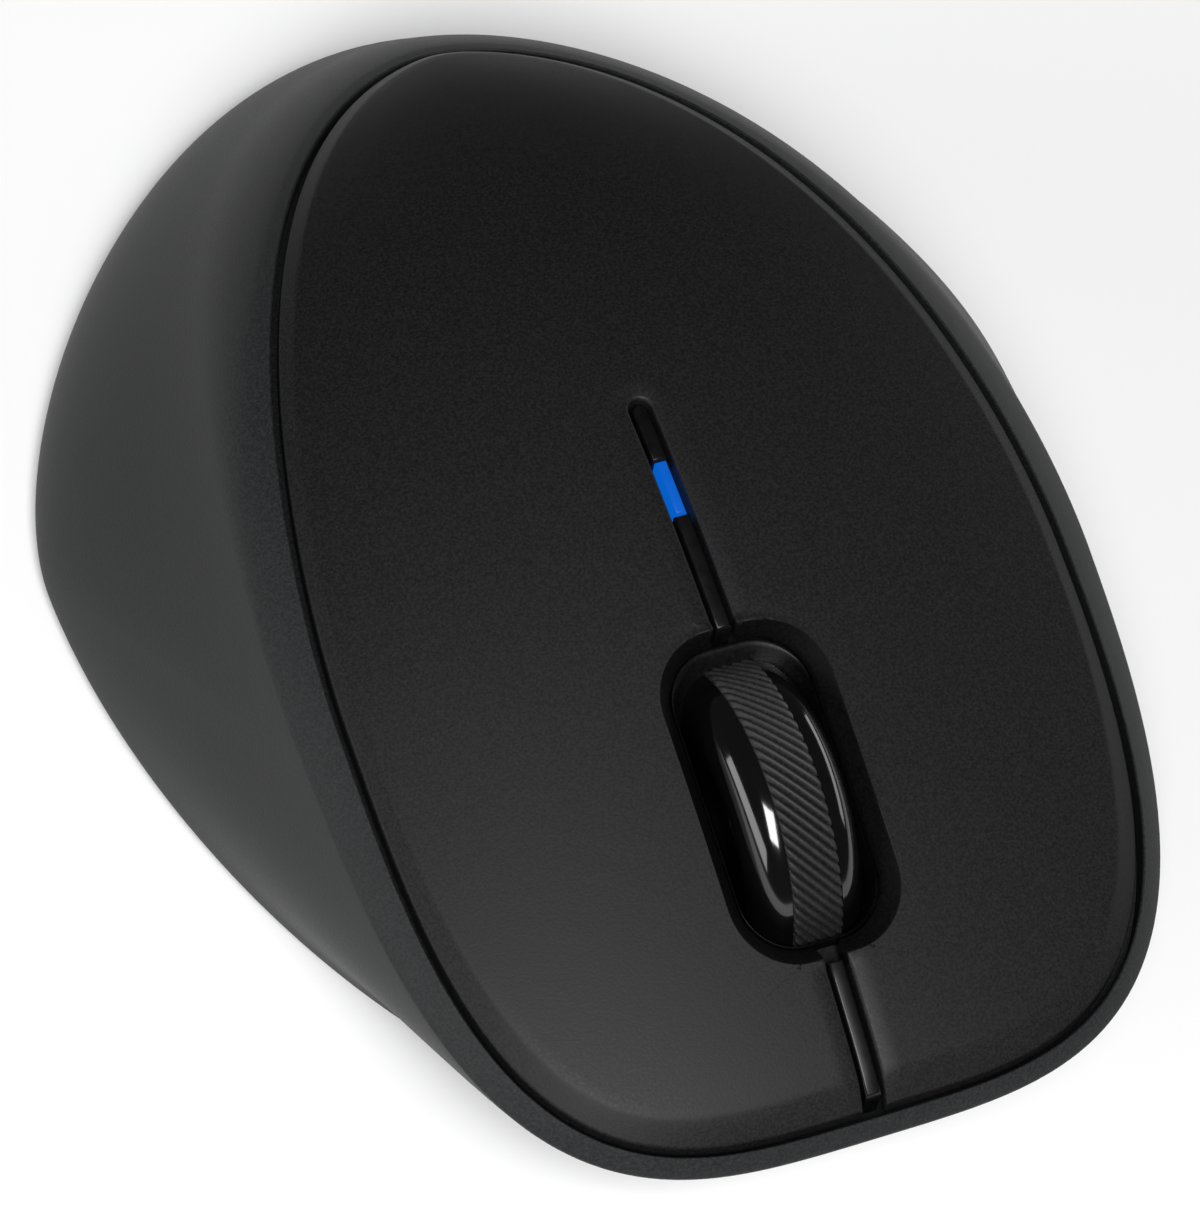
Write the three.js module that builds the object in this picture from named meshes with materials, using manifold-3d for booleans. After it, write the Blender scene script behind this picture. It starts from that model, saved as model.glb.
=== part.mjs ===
// Cordless computer mouse, millimetres, +Z up.
// The buttons and wheel are at -Y and the palm rest at +Y. The origin is on the desk,
// under the middle of the mouse, and the mouse is symmetric about X = 0.

import * as THREE from 'three';
import { LoftGeometry } from 'three/addons/geometries/LoftGeometry.js';
import { mergeVertices } from 'three/addons/utils/BufferGeometryUtils.js';
import Module from 'manifold-3d';

const wasm = await Module();
wasm.setup();

// ---- driving dimensions ------------------------------------------------------------

// The seam is the egg-shaped line where the top plate meets the housing.
const SEAM = {
  front: -49.8, rear: 37.6, widest: -15.7, halfWidth: 26.7,
  frontTip: 2.94, frontSide: 3.62, rearTip: 1.79, rearSide: 1.81,
};
const SEAM_HEIGHTS = [14.9, 22.9, 32.5, 20.1];
const CROWN = 4.0;

// The foot is the outline of the housing where it meets the underside.
// Each of its quarters is one curve, whose fullness is given at the tip and at the side.
const FOOT = {
  front: -43.1, rear: 51.1, widest: 12.3, halfWidth: 37.0,
  frontTip: 0.592, frontSide: 0.419, rearTip: 0.515, rearSide: 0.33,
};
const BASE_BOTTOM = 1.0;
const BASE_TOP = 2.6;
const WALL = 2.1;

// The rim is the edge around the plate, from the front to the middle to the rear.
const RIM_WIDTH = [1.3, 3.4, 4.5];
const RIM_DROP = [1.9, 3.0, 3.9];

const PLATE_THICKNESS = 1.8;
const GROOVE = 0.5;
const BEVEL_WIDTH = 0.9;
const BEVEL_DROP = 0.5;
const GAP = 0.3;
const BUTTON_HINGE_Y = 3.0;
const BUTTON_CLEARANCE = 0.9;

const WHEEL = { y: -26.9, z: 15.7, radius: 11.55, halfWidth: 4.2, treadHalfWidth: 1.8 };
const TREAD_RIBS = 48;
const AXLE_RADIUS = 1.0;
const BORE_RADIUS = 1.3;

const WINDOW = { front: -40.4, rear: -17.9, halfWidth: 6.3, corner: 4.8 };
const BEZEL = { front: -39.3, rear: -16.3, halfWidth: 5.4, corner: 4.2, band: 1.8, top: 2.7, bottom: 4.2 };
const SLOT_HALF_WIDTH = 0.85;
const SLOT_REAR = -0.2;
const LIGHT = { front: -9.2, rear: -4.9, halfWidth: 0.45 };

// The carrier tips on pins that two posts on the base hold up.
const PIVOT = { y: -13.6, z: 11.0, radius: 0.8, postX: 7.6, postHalf: 0.9, postTop: 12.8 };
const BOARD = { bottom: 5.2, top: 6.4, rear: -2.1, inset: 3.5 };

// The switches stand on the board; a plunger out of each one's top meets its stem.
const SWITCH = { x: 16.2, y: -23.1, halfX: 2.9, halfY: 6.4, top: 13.0 };
const STEM = { y: -26.3, halfX: 1.0, halfY: 0.9, bottom: 14.4 };
const PLUNGER = { halfX: 0.6, halfY: 0.7, bottom: 11.9, top: 14.1 };
const MIDDLE_SWITCH = { x: 9.4, half: 3.0, top: 9.9 };
const STRIP_BAR = { halfWidth: 2.4, start: 4.2, top: 3.5, bottom: 4.5 };

const CELL = { radius: 5.25, length: 44.5, x: 6.2, z: 8.3, nubRadius: 1.9, nub: 0.8 };
const CELL_LEFT_FRONT = -7.1;
const CELL_RIGHT_FRONT = -10.0;
const TRAY = { front: -11.9, rear: 39.6, halfWidth: 13.0, wall: 1.1, roof: 13.9 };
const DOOR = { front: -11.6, halfWidth: 13.8, top: 2.65 };

// The door's hooks lift out through notches in the base once it has slid this far.
const DOOR_TRAVEL = 9.0;
const DOOR_HOOKS = [-1.0, 20.0];

const CASE_SCREWS = [[24.2, -20.1], [-24.2, -20.1], [17, 37.4], [-17, 37.4]];
const BOARD_SCREW = { x: 22.5, y: -14.0 };
const SIDE_CONTROL = { x: 21, y: -6.5 };
const SENSOR_Y = -15.0;

const RING_STEPS = 64;

// ---- plain shapes ------------------------------------------------------------------

function box(x0, x1, y0, y1, z0, z1) {
  const geometry = new THREE.BoxGeometry(x1 - x0, y1 - y0, z1 - z0);
  geometry.translate((x0 + x1) / 2, (y0 + y1) / 2, (z0 + z1) / 2);
  return geometry;
}

function boxAbout(x, y, halfX, halfY, z0, z1) {
  return box(x - halfX, x + halfX, y - halfY, y + halfY, z0, z1);
}

function post(x, y, radius, z0, z1, segments = 20) {
  const geometry = new THREE.CylinderGeometry(radius, radius, z1 - z0, segments);
  geometry.rotateX(Math.PI / 2);
  geometry.translate(x, y, (z0 + z1) / 2);
  return geometry;
}

function crossBar(x0, x1, y, z, radius, segments = 16) {
  const geometry = new THREE.CylinderGeometry(radius, radius, x1 - x0, segments);
  geometry.rotateZ(Math.PI / 2);
  geometry.translate((x0 + x1) / 2, y, z);
  return geometry;
}

function prism(shape, z0, z1, curveSegments = 5) {
  const geometry = new THREE.ExtrudeGeometry(shape, { depth: z1 - z0, bevelEnabled: false, curveSegments });
  geometry.translate(0, 0, z0);
  return geometry;
}

function spanRectangle(halfX, front, rear, corner) {
  return roundedRectangle(0, (front + rear) / 2, halfX, (rear - front) / 2, corner);
}

function roundedRectangle(x, y, halfX, halfY, corner) {
  const shape = new THREE.Shape();
  shape.moveTo(x - halfX + corner, y - halfY);
  shape.lineTo(x + halfX - corner, y - halfY);
  shape.absarc(x + halfX - corner, y - halfY + corner, corner, -Math.PI / 2, 0);
  shape.absarc(x + halfX - corner, y + halfY - corner, corner, 0, Math.PI / 2);
  shape.absarc(x - halfX + corner, y + halfY - corner, corner, Math.PI / 2, Math.PI);
  shape.absarc(x - halfX + corner, y - halfY + corner, corner, Math.PI, Math.PI * 1.5);
  return shape;
}

// ---- joining and cutting -----------------------------------------------------------

function solid(geometry) {
  const bare = new THREE.BufferGeometry();
  bare.setAttribute('position', geometry.attributes.position);
  bare.setIndex(geometry.index);
  const merged = mergeVertices(bare, 1e-5);
  const kept = [];
  const index = merged.index.array;
  for (let i = 0; i < index.length; i += 3) {
    const [a, b, c] = [index[i], index[i + 1], index[i + 2]];
    if (a !== b && b !== c && c !== a) kept.push(a, b, c);
  }
  const mesh = new wasm.Mesh({
    numProp: 3,
    vertProperties: new Float32Array(merged.attributes.position.array),
    triVerts: new Uint32Array(kept),
  });
  return new wasm.Manifold(mesh);
}

function join(...geometries) {
  return geometries.map(solid).reduce((sum, next) => sum.add(next));
}

function cut(body, ...tools) {
  return tools.map(solid).reduce((rest, tool) => rest.subtract(tool), body);
}

function keep(body, tool) {
  return body.intersect(solid(tool));
}

function geometryOf(body) {
  const mesh = body.getMesh();
  const geometry = new THREE.BufferGeometry();
  geometry.setAttribute('position', new THREE.BufferAttribute(new Float32Array(mesh.vertProperties), 3));
  geometry.setIndex(new THREE.BufferAttribute(new Uint32Array(mesh.triVerts), 1));
  const flat = geometry.toNonIndexed();
  flat.computeVertexNormals();
  return flat;
}

// ---- the body's curves -------------------------------------------------------------

// A superellipse egg: its own tip and side exponents in front of and behind its widest line.
function eggPoint(egg, angle) {
  const across = Math.cos(angle);
  const along = Math.sin(angle);
  const behind = along >= 0;
  const side = behind ? egg.rearSide : egg.frontSide;
  const tip = behind ? egg.rearTip : egg.frontTip;
  const reach = behind ? egg.rear - egg.widest : egg.front - egg.widest;
  const x = egg.halfWidth * Math.sign(across) * Math.abs(across) ** (2 / side);
  return new THREE.Vector2(x, egg.widest + reach * Math.abs(along) ** (2 / tip));
}

// The foot's outline: one cubic curve in each quarter, level at the tip and side.
function footOutline(angle) {
  const across = Math.cos(angle);
  const along = Math.sin(angle);
  const behind = along >= 0;
  const reach = (behind ? FOOT.rear : FOOT.front) - FOOT.widest;
  const t = Math.atan2(Math.abs(along), Math.abs(across)) / (Math.PI / 2);
  const tip = behind ? FOOT.rearTip : FOOT.frontTip;
  const side = behind ? FOOT.rearSide : FOOT.frontSide;
  const x = FOOT.halfWidth * Math.sign(across) * blend4(t, [1, 1, tip, 0]);
  return new THREE.Vector2(x, FOOT.widest + reach * blend4(t, [0, side, 1, 1]));
}

const seamOutline = (angle) => eggPoint(SEAM, angle);

function outward(outline, angle) {
  const step = 0.03;
  const along = outline(angle + step).sub(outline(angle - step));
  return new THREE.Vector2(along.y, -along.x).normalize();
}

function eggHalfWidth(egg, y) {
  const behind = y >= egg.widest;
  const reach = behind ? egg.rear - egg.widest : egg.widest - egg.front;
  const side = behind ? egg.rearSide : egg.frontSide;
  const tip = behind ? egg.rearTip : egg.frontTip;
  const share = Math.min(1, Math.abs(y - egg.widest) / reach);
  const along = share ** (tip / 2);
  return egg.halfWidth * Math.sqrt(Math.max(0, 1 - along * along)) ** (2 / side);
}

function footShape(inset) {
  return new THREE.Shape(ring((angle) => (
    footOutline(angle).addScaledVector(outward(footOutline, angle), -inset)
  )));
}

function blend3(t, [a, b, c]) {
  return a * (1 - t) ** 2 + 2 * b * t * (1 - t) + c * t * t;
}

function blend4(t, [a, b, c, d]) {
  const u = 1 - t;
  return a * u ** 3 + 3 * b * t * u * u + 3 * c * t * t * u + d * t ** 3;
}

// 0 at the plate's front edge, 1 at its rear edge
function lengthShare(y) {
  return THREE.MathUtils.clamp((y - SEAM.front) / (SEAM.rear - SEAM.front), 0, 1);
}

function seamHeight(y) {
  return blend4(lengthShare(y), SEAM_HEIGHTS);
}

// Height of the plate's top surface: the seam's own curve plus a crown across it.
function plateHeight(x, y) {
  const share = lengthShare(y);
  const crown = CROWN * Math.sqrt(Math.max(0, 1 - (2 * share - 1) ** 2));
  const across = Math.min(1, Math.abs(x) / Math.max(eggHalfWidth(SEAM, y), 0.01));
  return seamHeight(y) + crown * (1 - across * across);
}

function seamPoint(angle, outset, drop) {
  const point = eggPoint(SEAM, angle);
  const height = seamHeight(point.y);
  point.addScaledVector(outward(seamOutline, angle), outset);
  return new THREE.Vector3(point.x, point.y, height - drop);
}

function rimPoint(angle, outset = 0, drop = 0) {
  const share = lengthShare(eggPoint(SEAM, angle).y);
  return seamPoint(angle, blend3(share, RIM_WIDTH) + outset, blend3(share, RIM_DROP) + drop);
}

function footPoint(angle, inset, z) {
  const point = footOutline(angle).addScaledVector(outward(footOutline, angle), -inset);
  return new THREE.Vector3(point.x, point.y, z);
}

// The flank falls from the rim to the foot: near the rim it drops steeply, lower down it
// flares out behind and tucks in at the front.
function flankPoint(angle, t, inset = 0) {
  const rim = rimPoint(angle, -inset, inset * 0.75);
  const foot = footPoint(angle, inset, BASE_BOTTOM);
  const shoulder = rim.clone().lerp(foot, 0.33);
  const waist = rim.clone().lerp(foot, 0.95);
  shoulder.z = foot.z + (rim.z - foot.z) * 0.65;
  waist.z = foot.z + (rim.z - foot.z) * 0.29;
  return new THREE.CubicBezierCurve3(rim, shoulder, waist, foot).getPoint(t);
}

function ring(pointAt) {
  return Array.from({ length: RING_STEPS }, (_, i) => pointAt((i / RING_STEPS) * Math.PI * 2));
}

// Everything inside the housing's outer skin, or inside a line `inset` within it.
function bodyLoft(inset, bottom) {
  const rings = [ring((angle) => footPoint(angle, inset, bottom))];
  for (const t of [0.85, 0.65, 0.45, 0.25, 0]) {
    rings.push(ring((angle) => flankPoint(angle, t, inset)));
  }
  rings.push(ring((angle) => seamPoint(angle, GROOVE / 2 - inset, inset * 1.5)));
  return new LoftGeometry(rings, { capStart: true, capEnd: true });
}

// ---- the housing -------------------------------------------------------------------

function ledgeDrop(angle) {
  const share = lengthShare(eggPoint(SEAM, angle).y);
  return PLATE_THICKNESS + 0.4 + BUTTON_CLEARANCE * (1 - share);
}

// One cut across the housing wall: rim, flank, bottom edge, inner wall and plate ledge.
function wallSection(angle) {
  const share = lengthShare(eggPoint(SEAM, angle).y);
  const width = blend3(share, RIM_WIDTH);
  const drop = blend3(share, RIM_DROP);
  const floor = ledgeDrop(angle);
  const section = [
    seamPoint(angle, GROOVE / 2, floor),
    seamPoint(angle, GROOVE / 2, BEVEL_DROP),
    seamPoint(angle, width * 0.6, drop * 0.42),
  ];
  for (const t of [0, 0.12, 0.28, 0.45, 0.62, 0.8]) section.push(flankPoint(angle, t));
  section.push(footPoint(angle, 0.05, BASE_BOTTOM + 0.9));
  section.push(footPoint(angle, 0.7, BASE_BOTTOM));
  section.push(footPoint(angle, WALL, BASE_BOTTOM));
  section.push(footPoint(angle, WALL, BASE_TOP));
  for (const t of [0.75, 0.5, 0.25, 0]) section.push(flankPoint(angle, t, WALL));
  section.push(seamPoint(angle, -2.2, floor + 1.4));
  section.push(seamPoint(angle, -2.2, floor));
  return section;
}

function bodyShell() {
  const sections = ring(wallSection);
  sections.push(sections[0]);
  const wall = solid(new LoftGeometry(sections));
  const bosses = join(...CASE_SCREWS.map(([x, y]) => post(x, y, 2.5, BASE_TOP + GAP, 14)));
  const inside = bosses.intersect(solid(bodyLoft(1.0, BASE_TOP + GAP)));
  const pilots = CASE_SCREWS.map(([x, y]) => post(x, y, 0.9, 0, 9, 12));
  const doorway = box(-DOOR.halfWidth - GAP, DOOR.halfWidth + GAP, 40, 60, 0, DOOR.top + GAP);
  return geometryOf(cut(wall.add(inside), ...pilots, doorway));
}

function screwHoles() {
  const holes = [];
  for (const [x, y] of CASE_SCREWS) {
    holes.push(post(x, y, 0.9, 0, 4, 12));
    holes.push(post(x, y, 2.4, 0, BASE_BOTTOM + 0.9, 20));
  }
  return holes;
}

function basePlate() {
  const side = DOOR.halfWidth + GAP;
  const floor = prism(footShape(WALL + GAP), BASE_BOTTOM, BASE_TOP);
  const parts = [floor];
  for (const sign of [-1, 1]) {
    const [x0, x1] = [sign * PIVOT.postX - PIVOT.postHalf, sign * PIVOT.postX + PIVOT.postHalf];
    parts.push(box(x0, x1, PIVOT.y - 1.6, PIVOT.y + 1.3, BASE_TOP - 0.2, PIVOT.postTop));
    parts.push(post(sign * BOARD_SCREW.x, BOARD_SCREW.y, 2.2, BASE_TOP - 0.2, BOARD.bottom - GAP));
  }
  const tools = screwHoles();
  tools.push(box(-side, side, DOOR.front - GAP, 60, 0, 4));
  for (const y of DOOR_HOOKS.map((hook) => hook + DOOR_TRAVEL + 0.6)) {
    tools.push(box(-side - 1.6, side + 1.6, y - 4.4, y + 4.4, 0, 4));
  }
  tools.push(prism(roundedRectangle(0, SENSOR_Y, 3.4, 2.0, 1.2), 0, 4));
  tools.push(prism(roundedRectangle(-SIDE_CONTROL.x, SIDE_CONTROL.y, 1.8, 3.6, 0.5), 0, 4));
  tools.push(post(SIDE_CONTROL.x, SIDE_CONTROL.y, 2.3, 0, 4));
  tools.push(crossBar(-9, 9, PIVOT.y, PIVOT.z, PIVOT.radius + GAP));
  for (const sign of [-1, 1]) {
    tools.push(post(sign * BOARD_SCREW.x, BOARD_SCREW.y, 0.9, BASE_TOP + 0.2, 8, 12));
  }
  return geometryOf(cut(join(...parts), ...tools));
}

// ---- the top plate -----------------------------------------------------------------

function plateRing(scale, drop) {
  return ring((angle) => {
    const point = eggPoint(SEAM, angle);
    const x = point.x * scale;
    const y = SEAM.widest + (point.y - SEAM.widest) * scale;
    return new THREE.Vector3(x, y, plateHeight(x, y) - drop);
  });
}

function plateLoft() {
  const rings = [];
  for (const scale of [0, 0.4, 0.75, 0.9]) rings.push(plateRing(scale, PLATE_THICKNESS));
  rings.push(ring((angle) => seamPoint(angle, -GROOVE / 2, PLATE_THICKNESS)));
  rings.push(ring((angle) => seamPoint(angle, -GROOVE / 2, BEVEL_DROP)));
  rings.push(plateRing(1 - BEVEL_WIDTH / SEAM.halfWidth, 0));
  for (const scale of [0.86, 0.72, 0.56, 0.36, 0.18, 0]) rings.push(plateRing(scale, 0));
  return new LoftGeometry(rings);
}

function slotTool(halfWidth, front, rear) {
  const shape = new THREE.Shape();
  shape.moveTo(-halfWidth, front);
  shape.lineTo(halfWidth, front);
  shape.absarc(0, rear - halfWidth, halfWidth, 0, Math.PI);
  return prism(shape, 0, 40);
}

function openPlate() {
  const windowShape = spanRectangle(WINDOW.halfWidth, WINDOW.front, WINDOW.rear, WINDOW.corner);
  const slot = slotTool(SLOT_HALF_WIDTH, SEAM.front - 5, SLOT_REAR);
  return cut(solid(plateLoft()), prism(windowShape, 0, 40), slot);
}

function palmCover() {
  return geometryOf(keep(openPlate(), box(-50, 50, BUTTON_HINGE_Y + GAP / 2, 60, 0, 60)));
}

// A button is the plate on its side of the slot, with a stem that works its switch.
function button(side) {
  const inner = side * GAP / 2;
  const outer = side * 50;
  const half = box(Math.min(inner, outer), Math.max(inner, outer), -60, BUTTON_HINGE_Y - GAP / 2, 0, 60);
  const top = plateHeight(SWITCH.x, STEM.y) - PLATE_THICKNESS / 2;
  const stem = boxAbout(side * SWITCH.x, STEM.y, STEM.halfX, STEM.halfY, STEM.bottom, top);
  return geometryOf(keep(openPlate(), half).add(solid(stem)));
}

// ---- the slot and the wheel window -------------------------------------------------

// A bar that follows the underside of the plate at a given distance below its top face.
function followBar(halfWidth, front, rear, above, below) {
  const sections = [];
  const steps = Math.max(2, Math.round((rear - front) / 4));
  for (let i = 0; i <= steps; i += 1) {
    const y = front + ((rear - front) * i) / steps;
    const z = plateHeight(0, y);
    sections.push([
      new THREE.Vector3(-halfWidth, y, z - above),
      new THREE.Vector3(halfWidth, y, z - above),
      new THREE.Vector3(halfWidth, y, z - below),
      new THREE.Vector3(-halfWidth, y, z - below),
    ]);
  }
  return new LoftGeometry(sections, { capStart: true, capEnd: true });
}

function rearSlotStrip() {
  const blade = SLOT_HALF_WIDTH - GAP;
  const barFront = BEZEL.rear + BEZEL.band + GAP;
  const bar = followBar(3.0, barFront, 8.0, 2.5, 3.7);
  const front = followBar(blade, WINDOW.rear + GAP, LIGHT.front - GAP, 0.35, BEZEL.top - GAP);
  const neck = followBar(blade, barFront, LIGHT.front - GAP, 2.0, 3.0);
  const rear = followBar(blade, LIGHT.rear + GAP, SLOT_REAR - GAP, 0.35, 3.0);
  const side = LIGHT.halfWidth + GAP;
  const pocket = box(-side, side, LIGHT.front - GAP, LIGHT.rear + GAP, 0, 40);
  const strip = cut(solid(bar), pocket);
  return geometryOf(strip.add(join(front, neck, rear)));
}

function frontSlotStrip() {
  const halfWidth = SLOT_HALF_WIDTH - GAP;
  const { start, top, bottom } = STRIP_BAR;
  const barRear = BEZEL.front - BEZEL.band - GAP;
  const bar = followBar(STRIP_BAR.halfWidth, SEAM.front + start, barRear, top, bottom);
  const neck = followBar(halfWidth, SEAM.front + start, barRear, 2.0, top + 0.3);
  const blade = followBar(halfWidth, SEAM.front + 0.8, WINDOW.front - GAP, 0.45, BEZEL.top - GAP);
  return geometryOf(join(bar, neck, blade));
}

function lightPipe() {
  return followBar(LIGHT.halfWidth, LIGHT.front, LIGHT.rear, 0.3, 6.5);
}

function wheelBezel() {
  const { front, rear, halfWidth, corner, band, top, bottom } = BEZEL;
  const outer = spanRectangle(halfWidth + band, front - band, rear + band, corner + band);
  const inner = spanRectangle(halfWidth, front, rear, corner);
  const rings = [bottom, top].map((drop) => outer.getPoints(5).map((point) => (
    new THREE.Vector3(point.x, point.y, plateHeight(0, point.y) - drop)
  )));
  const body = solid(new LoftGeometry(rings, { capStart: true, capEnd: true }));
  return geometryOf(cut(body, prism(inner, 0, 40)));
}

// ---- the wheel ---------------------------------------------------------------------

function aroundAxle(profile, segments) {
  const geometry = new THREE.LatheGeometry(profile, segments);
  geometry.rotateZ(-Math.PI / 2);
  geometry.translate(0, WHEEL.y, WHEEL.z);
  return geometry;
}

function wheelHub() {
  const side = WHEEL.halfWidth;
  const tread = WHEEL.treadHalfWidth + 0.1;
  const crest = WHEEL.radius - 0.35;
  const profile = [
    [BORE_RADIUS, -side], [7.4, -side], [9.0, -side + 0.3], [10.2, -side + 0.9], [10.9, -side + 1.6],
    [crest, -tread], [9.9, -tread], [9.9, tread], [crest, tread],
    [10.9, side - 1.6], [10.2, side - 0.9], [9.0, side - 0.3], [7.4, side], [BORE_RADIUS, side],
    [BORE_RADIUS, -side],
  ];
  return aroundAxle(profile.map(([r, x]) => new THREE.Vector2(r, x)), 48);
}

// The tread's ribs slant: each side of the tyre is turned a little against the other.
function wheelTyre() {
  const points = TREAD_RIBS * 2;
  const slant = (1.5 / TREAD_RIBS) * Math.PI * 2;
  const sideRing = (x, ribbed) => Array.from({ length: points }, (_, i) => {
    const turn = (i / points) * Math.PI * 2 + (x / WHEEL.treadHalfWidth) * slant;
    const outer = i % 2 ? WHEEL.radius : WHEEL.radius - 0.35;
    const radius = ribbed ? outer : WHEEL.radius - 1.35;
    return new THREE.Vector3(x, WHEEL.y + radius * Math.cos(turn), WHEEL.z + radius * Math.sin(turn));
  });
  const half = WHEEL.treadHalfWidth;
  const loop = [sideRing(-half, false), sideRing(-half, true), sideRing(half, true), sideRing(half, false)];
  loop.push(loop[0]);
  return new LoftGeometry(loop);
}

function wheelAxle() {
  return crossBar(-7.6, 6.2, WHEEL.y, WHEEL.z, AXLE_RADIUS, 12);
}

function cheek(x0, x1) {
  const shape = new THREE.Shape();
  shape.moveTo(WHEEL.y, WHEEL.z - 3.2);
  shape.lineTo(PIVOT.y - 1.2, PIVOT.z - 1.6);
  shape.lineTo(PIVOT.y + 1.2, PIVOT.z - 1.2);
  shape.lineTo(PIVOT.y + 1.2, PIVOT.z + 1.6);
  shape.lineTo(WHEEL.y + 2.2, WHEEL.z + 2.6);
  shape.absarc(WHEEL.y, WHEEL.z, 3.2, Math.PI * 0.3, Math.PI * 1.5);
  const geometry = prism(shape, 0, x1 - x0, 10);
  geometry.rotateY(Math.PI / 2);
  geometry.rotateX(Math.PI / 2);
  geometry.translate(x0, 0, 0);
  return geometry;
}

function wheelCarrier() {
  const bar = box(-6.0, 6.0, PIVOT.y - 1.2, PIVOT.y + 1.2, PIVOT.z - 1.2, PIVOT.z + 1.2);
  const pins = crossBar(-8.3, 8.3, PIVOT.y, PIVOT.z, PIVOT.radius, 12);
  const arm = box(5.8, 10.2, WHEEL.y - 1.5, WHEEL.y + 1.5, 11.2, 12.9);
  const armRoot = box(4.8, 6.0, WHEEL.y - 1.5, WHEEL.y + 1.5, 11.2, 14);
  const body = join(cheek(-6.0, -4.8), cheek(4.8, 6.0), bar, pins, arm, armRoot);
  return geometryOf(cut(body, crossBar(-7, 7, WHEEL.y, WHEEL.z, BORE_RADIUS)));
}

function scrollEncoder() {
  const body = box(-11.2, -6.3, WHEEL.y - 4, WHEEL.y + 4, 10.2, 18.3);
  return geometryOf(cut(solid(body), crossBar(-9, -6, WHEEL.y, WHEEL.z, BORE_RADIUS)));
}

// ---- switches, board and radio -----------------------------------------------------

function buttonSwitch(side) {
  const { x, y, halfX, halfY, top } = SWITCH;
  const { halfX: plungerX, halfY: plungerY } = PLUNGER;
  const body = boxAbout(side * x, y, halfX, halfY, BOARD.top + GAP, top);
  const pocket = boxAbout(side * x, STEM.y, plungerX + GAP, plungerY + GAP, PLUNGER.bottom - 0.7, top + 1);
  return geometryOf(cut(solid(body), pocket));
}

function buttonPlunger(side) {
  return boxAbout(side * SWITCH.x, STEM.y, PLUNGER.halfX, PLUNGER.halfY, PLUNGER.bottom, PLUNGER.top);
}

function middleSwitch() {
  const { x, half, top } = MIDDLE_SWITCH;
  const body = boxAbout(x, WHEEL.y, half, half, BOARD.top + GAP, top);
  return geometryOf(cut(solid(body), boxAbout(x, WHEEL.y, 0.9, 1.5, top - 1.6, top + 1)));
}

function middlePlunger() {
  const { x, top } = MIDDLE_SWITCH;
  return boxAbout(x, WHEEL.y, 0.6, 1.2, top - 0.7, top + 1);
}

function circuitBoard() {
  const outline = prism(footShape(BOARD.inset), BOARD.bottom, BOARD.top);
  const tools = [
    box(-60, 60, BOARD.rear, 70, 0, 10),
    box(-TRAY.halfWidth - 0.6, TRAY.halfWidth + 0.6, TRAY.front - 0.6, 70, 0, 10),
    box(-5.3, 5.3, WHEEL.y - 11, WHEEL.y + 7.6, 0, 10),
  ];
  for (const [x, y] of CASE_SCREWS) tools.push(post(x, y, 3.2, 0, 10));
  for (const sign of [-1, 1]) {
    const [x0, x1] = [sign * PIVOT.postX - 1.4, sign * PIVOT.postX + 1.4];
    tools.push(box(x0, x1, PIVOT.y - 2.1, PIVOT.y + 3, 0, 10));
    tools.push(post(sign * BOARD_SCREW.x, BOARD_SCREW.y, 1.0, 0, 10, 12));
  }
  return geometryOf(cut(solid(outline), ...tools));
}

function sensorWindow() {
  return prism(roundedRectangle(0, SENSOR_Y, 3.1, 1.7, 0.9), BASE_BOTTOM + 0.3, BASE_TOP + 0.6, 4);
}

function batteryCell(x, front, nubAtRear) {
  const r = CELL.radius;
  const end = CELL.length - CELL.nub;
  const profile = [
    [0, 0], [r - 0.4, 0], [r, 0.4], [r, end - 0.4], [r - 0.4, end],
    [CELL.nubRadius, end], [CELL.nubRadius, CELL.length], [0, CELL.length],
  ];
  const geometry = new THREE.LatheGeometry(profile.map(([a, b]) => new THREE.Vector2(a, b)), 24);
  if (!nubAtRear) {
    geometry.rotateX(Math.PI);
    geometry.translate(0, CELL.length, 0);
  }
  geometry.translate(x, front, CELL.z);
  return geometry;
}

class Coil extends THREE.Curve {
  constructor(x, start, end) {
    super();
    this.x = x;
    this.start = start;
    this.end = end;
  }

  getPoint(t, target = new THREE.Vector3()) {
    const turn = t * Math.PI * 2 * 3;
    const radius = 3.4 - 1.5 * t;
    const y = this.start + (this.end - this.start) * t;
    return target.set(this.x + radius * Math.cos(turn), y, CELL.z + radius * Math.sin(turn));
  }
}

function contactSpring(x, start, end) {
  const wire = new THREE.Shape();
  wire.absarc(0, 0, 0.25, 0, Math.PI * 2);
  const path = new Coil(x, start, end);
  return new THREE.ExtrudeGeometry(wire, { steps: 36, extrudePath: path, curveSegments: 3 });
}

function batteryTray() {
  const { front, rear, halfWidth, wall, roof } = TRAY;
  const outer = box(-halfWidth, halfWidth, front, rear, 4.1, roof + wall);
  const hollow = box(-halfWidth + wall, halfWidth - wall, front + wall, rear - wall, 0, roof);
  const inside = bodyLoft(WALL + 0.35, BASE_TOP + GAP);
  const kept = solid(outer).intersect(solid(inside));
  const led = box(-3.4, 3.4, -10.8, -3.2, roof, roof + 4);
  return geometryOf(cut(kept, hollow).subtract(solid(led)));
}

function batteryDoor() {
  const { front, halfWidth, top } = DOOR;
  const outline = solid(prism(footShape(0.1), BASE_BOTTOM, top));
  const panel = outline.intersect(solid(box(-halfWidth, halfWidth, front, 60, 0, 5)));
  const hooks = [];
  for (const y of DOOR_HOOKS) {
    for (const sign of [-1, 1]) {
      const a = sign * (halfWidth - 1.0);
      const b = sign * (halfWidth + 1.5);
      hooks.push(box(Math.min(a, b), Math.max(a, b), y - 3.5, y + 3.5, BASE_TOP + GAP, BASE_TOP + 1.1));
      hooks.push(box(a - 0.4, a + 0.4, y - 3.5, y + 3.5, top - 0.3, BASE_TOP + 0.6));
    }
  }
  return geometryOf(panel.add(join(...hooks)));
}

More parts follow.
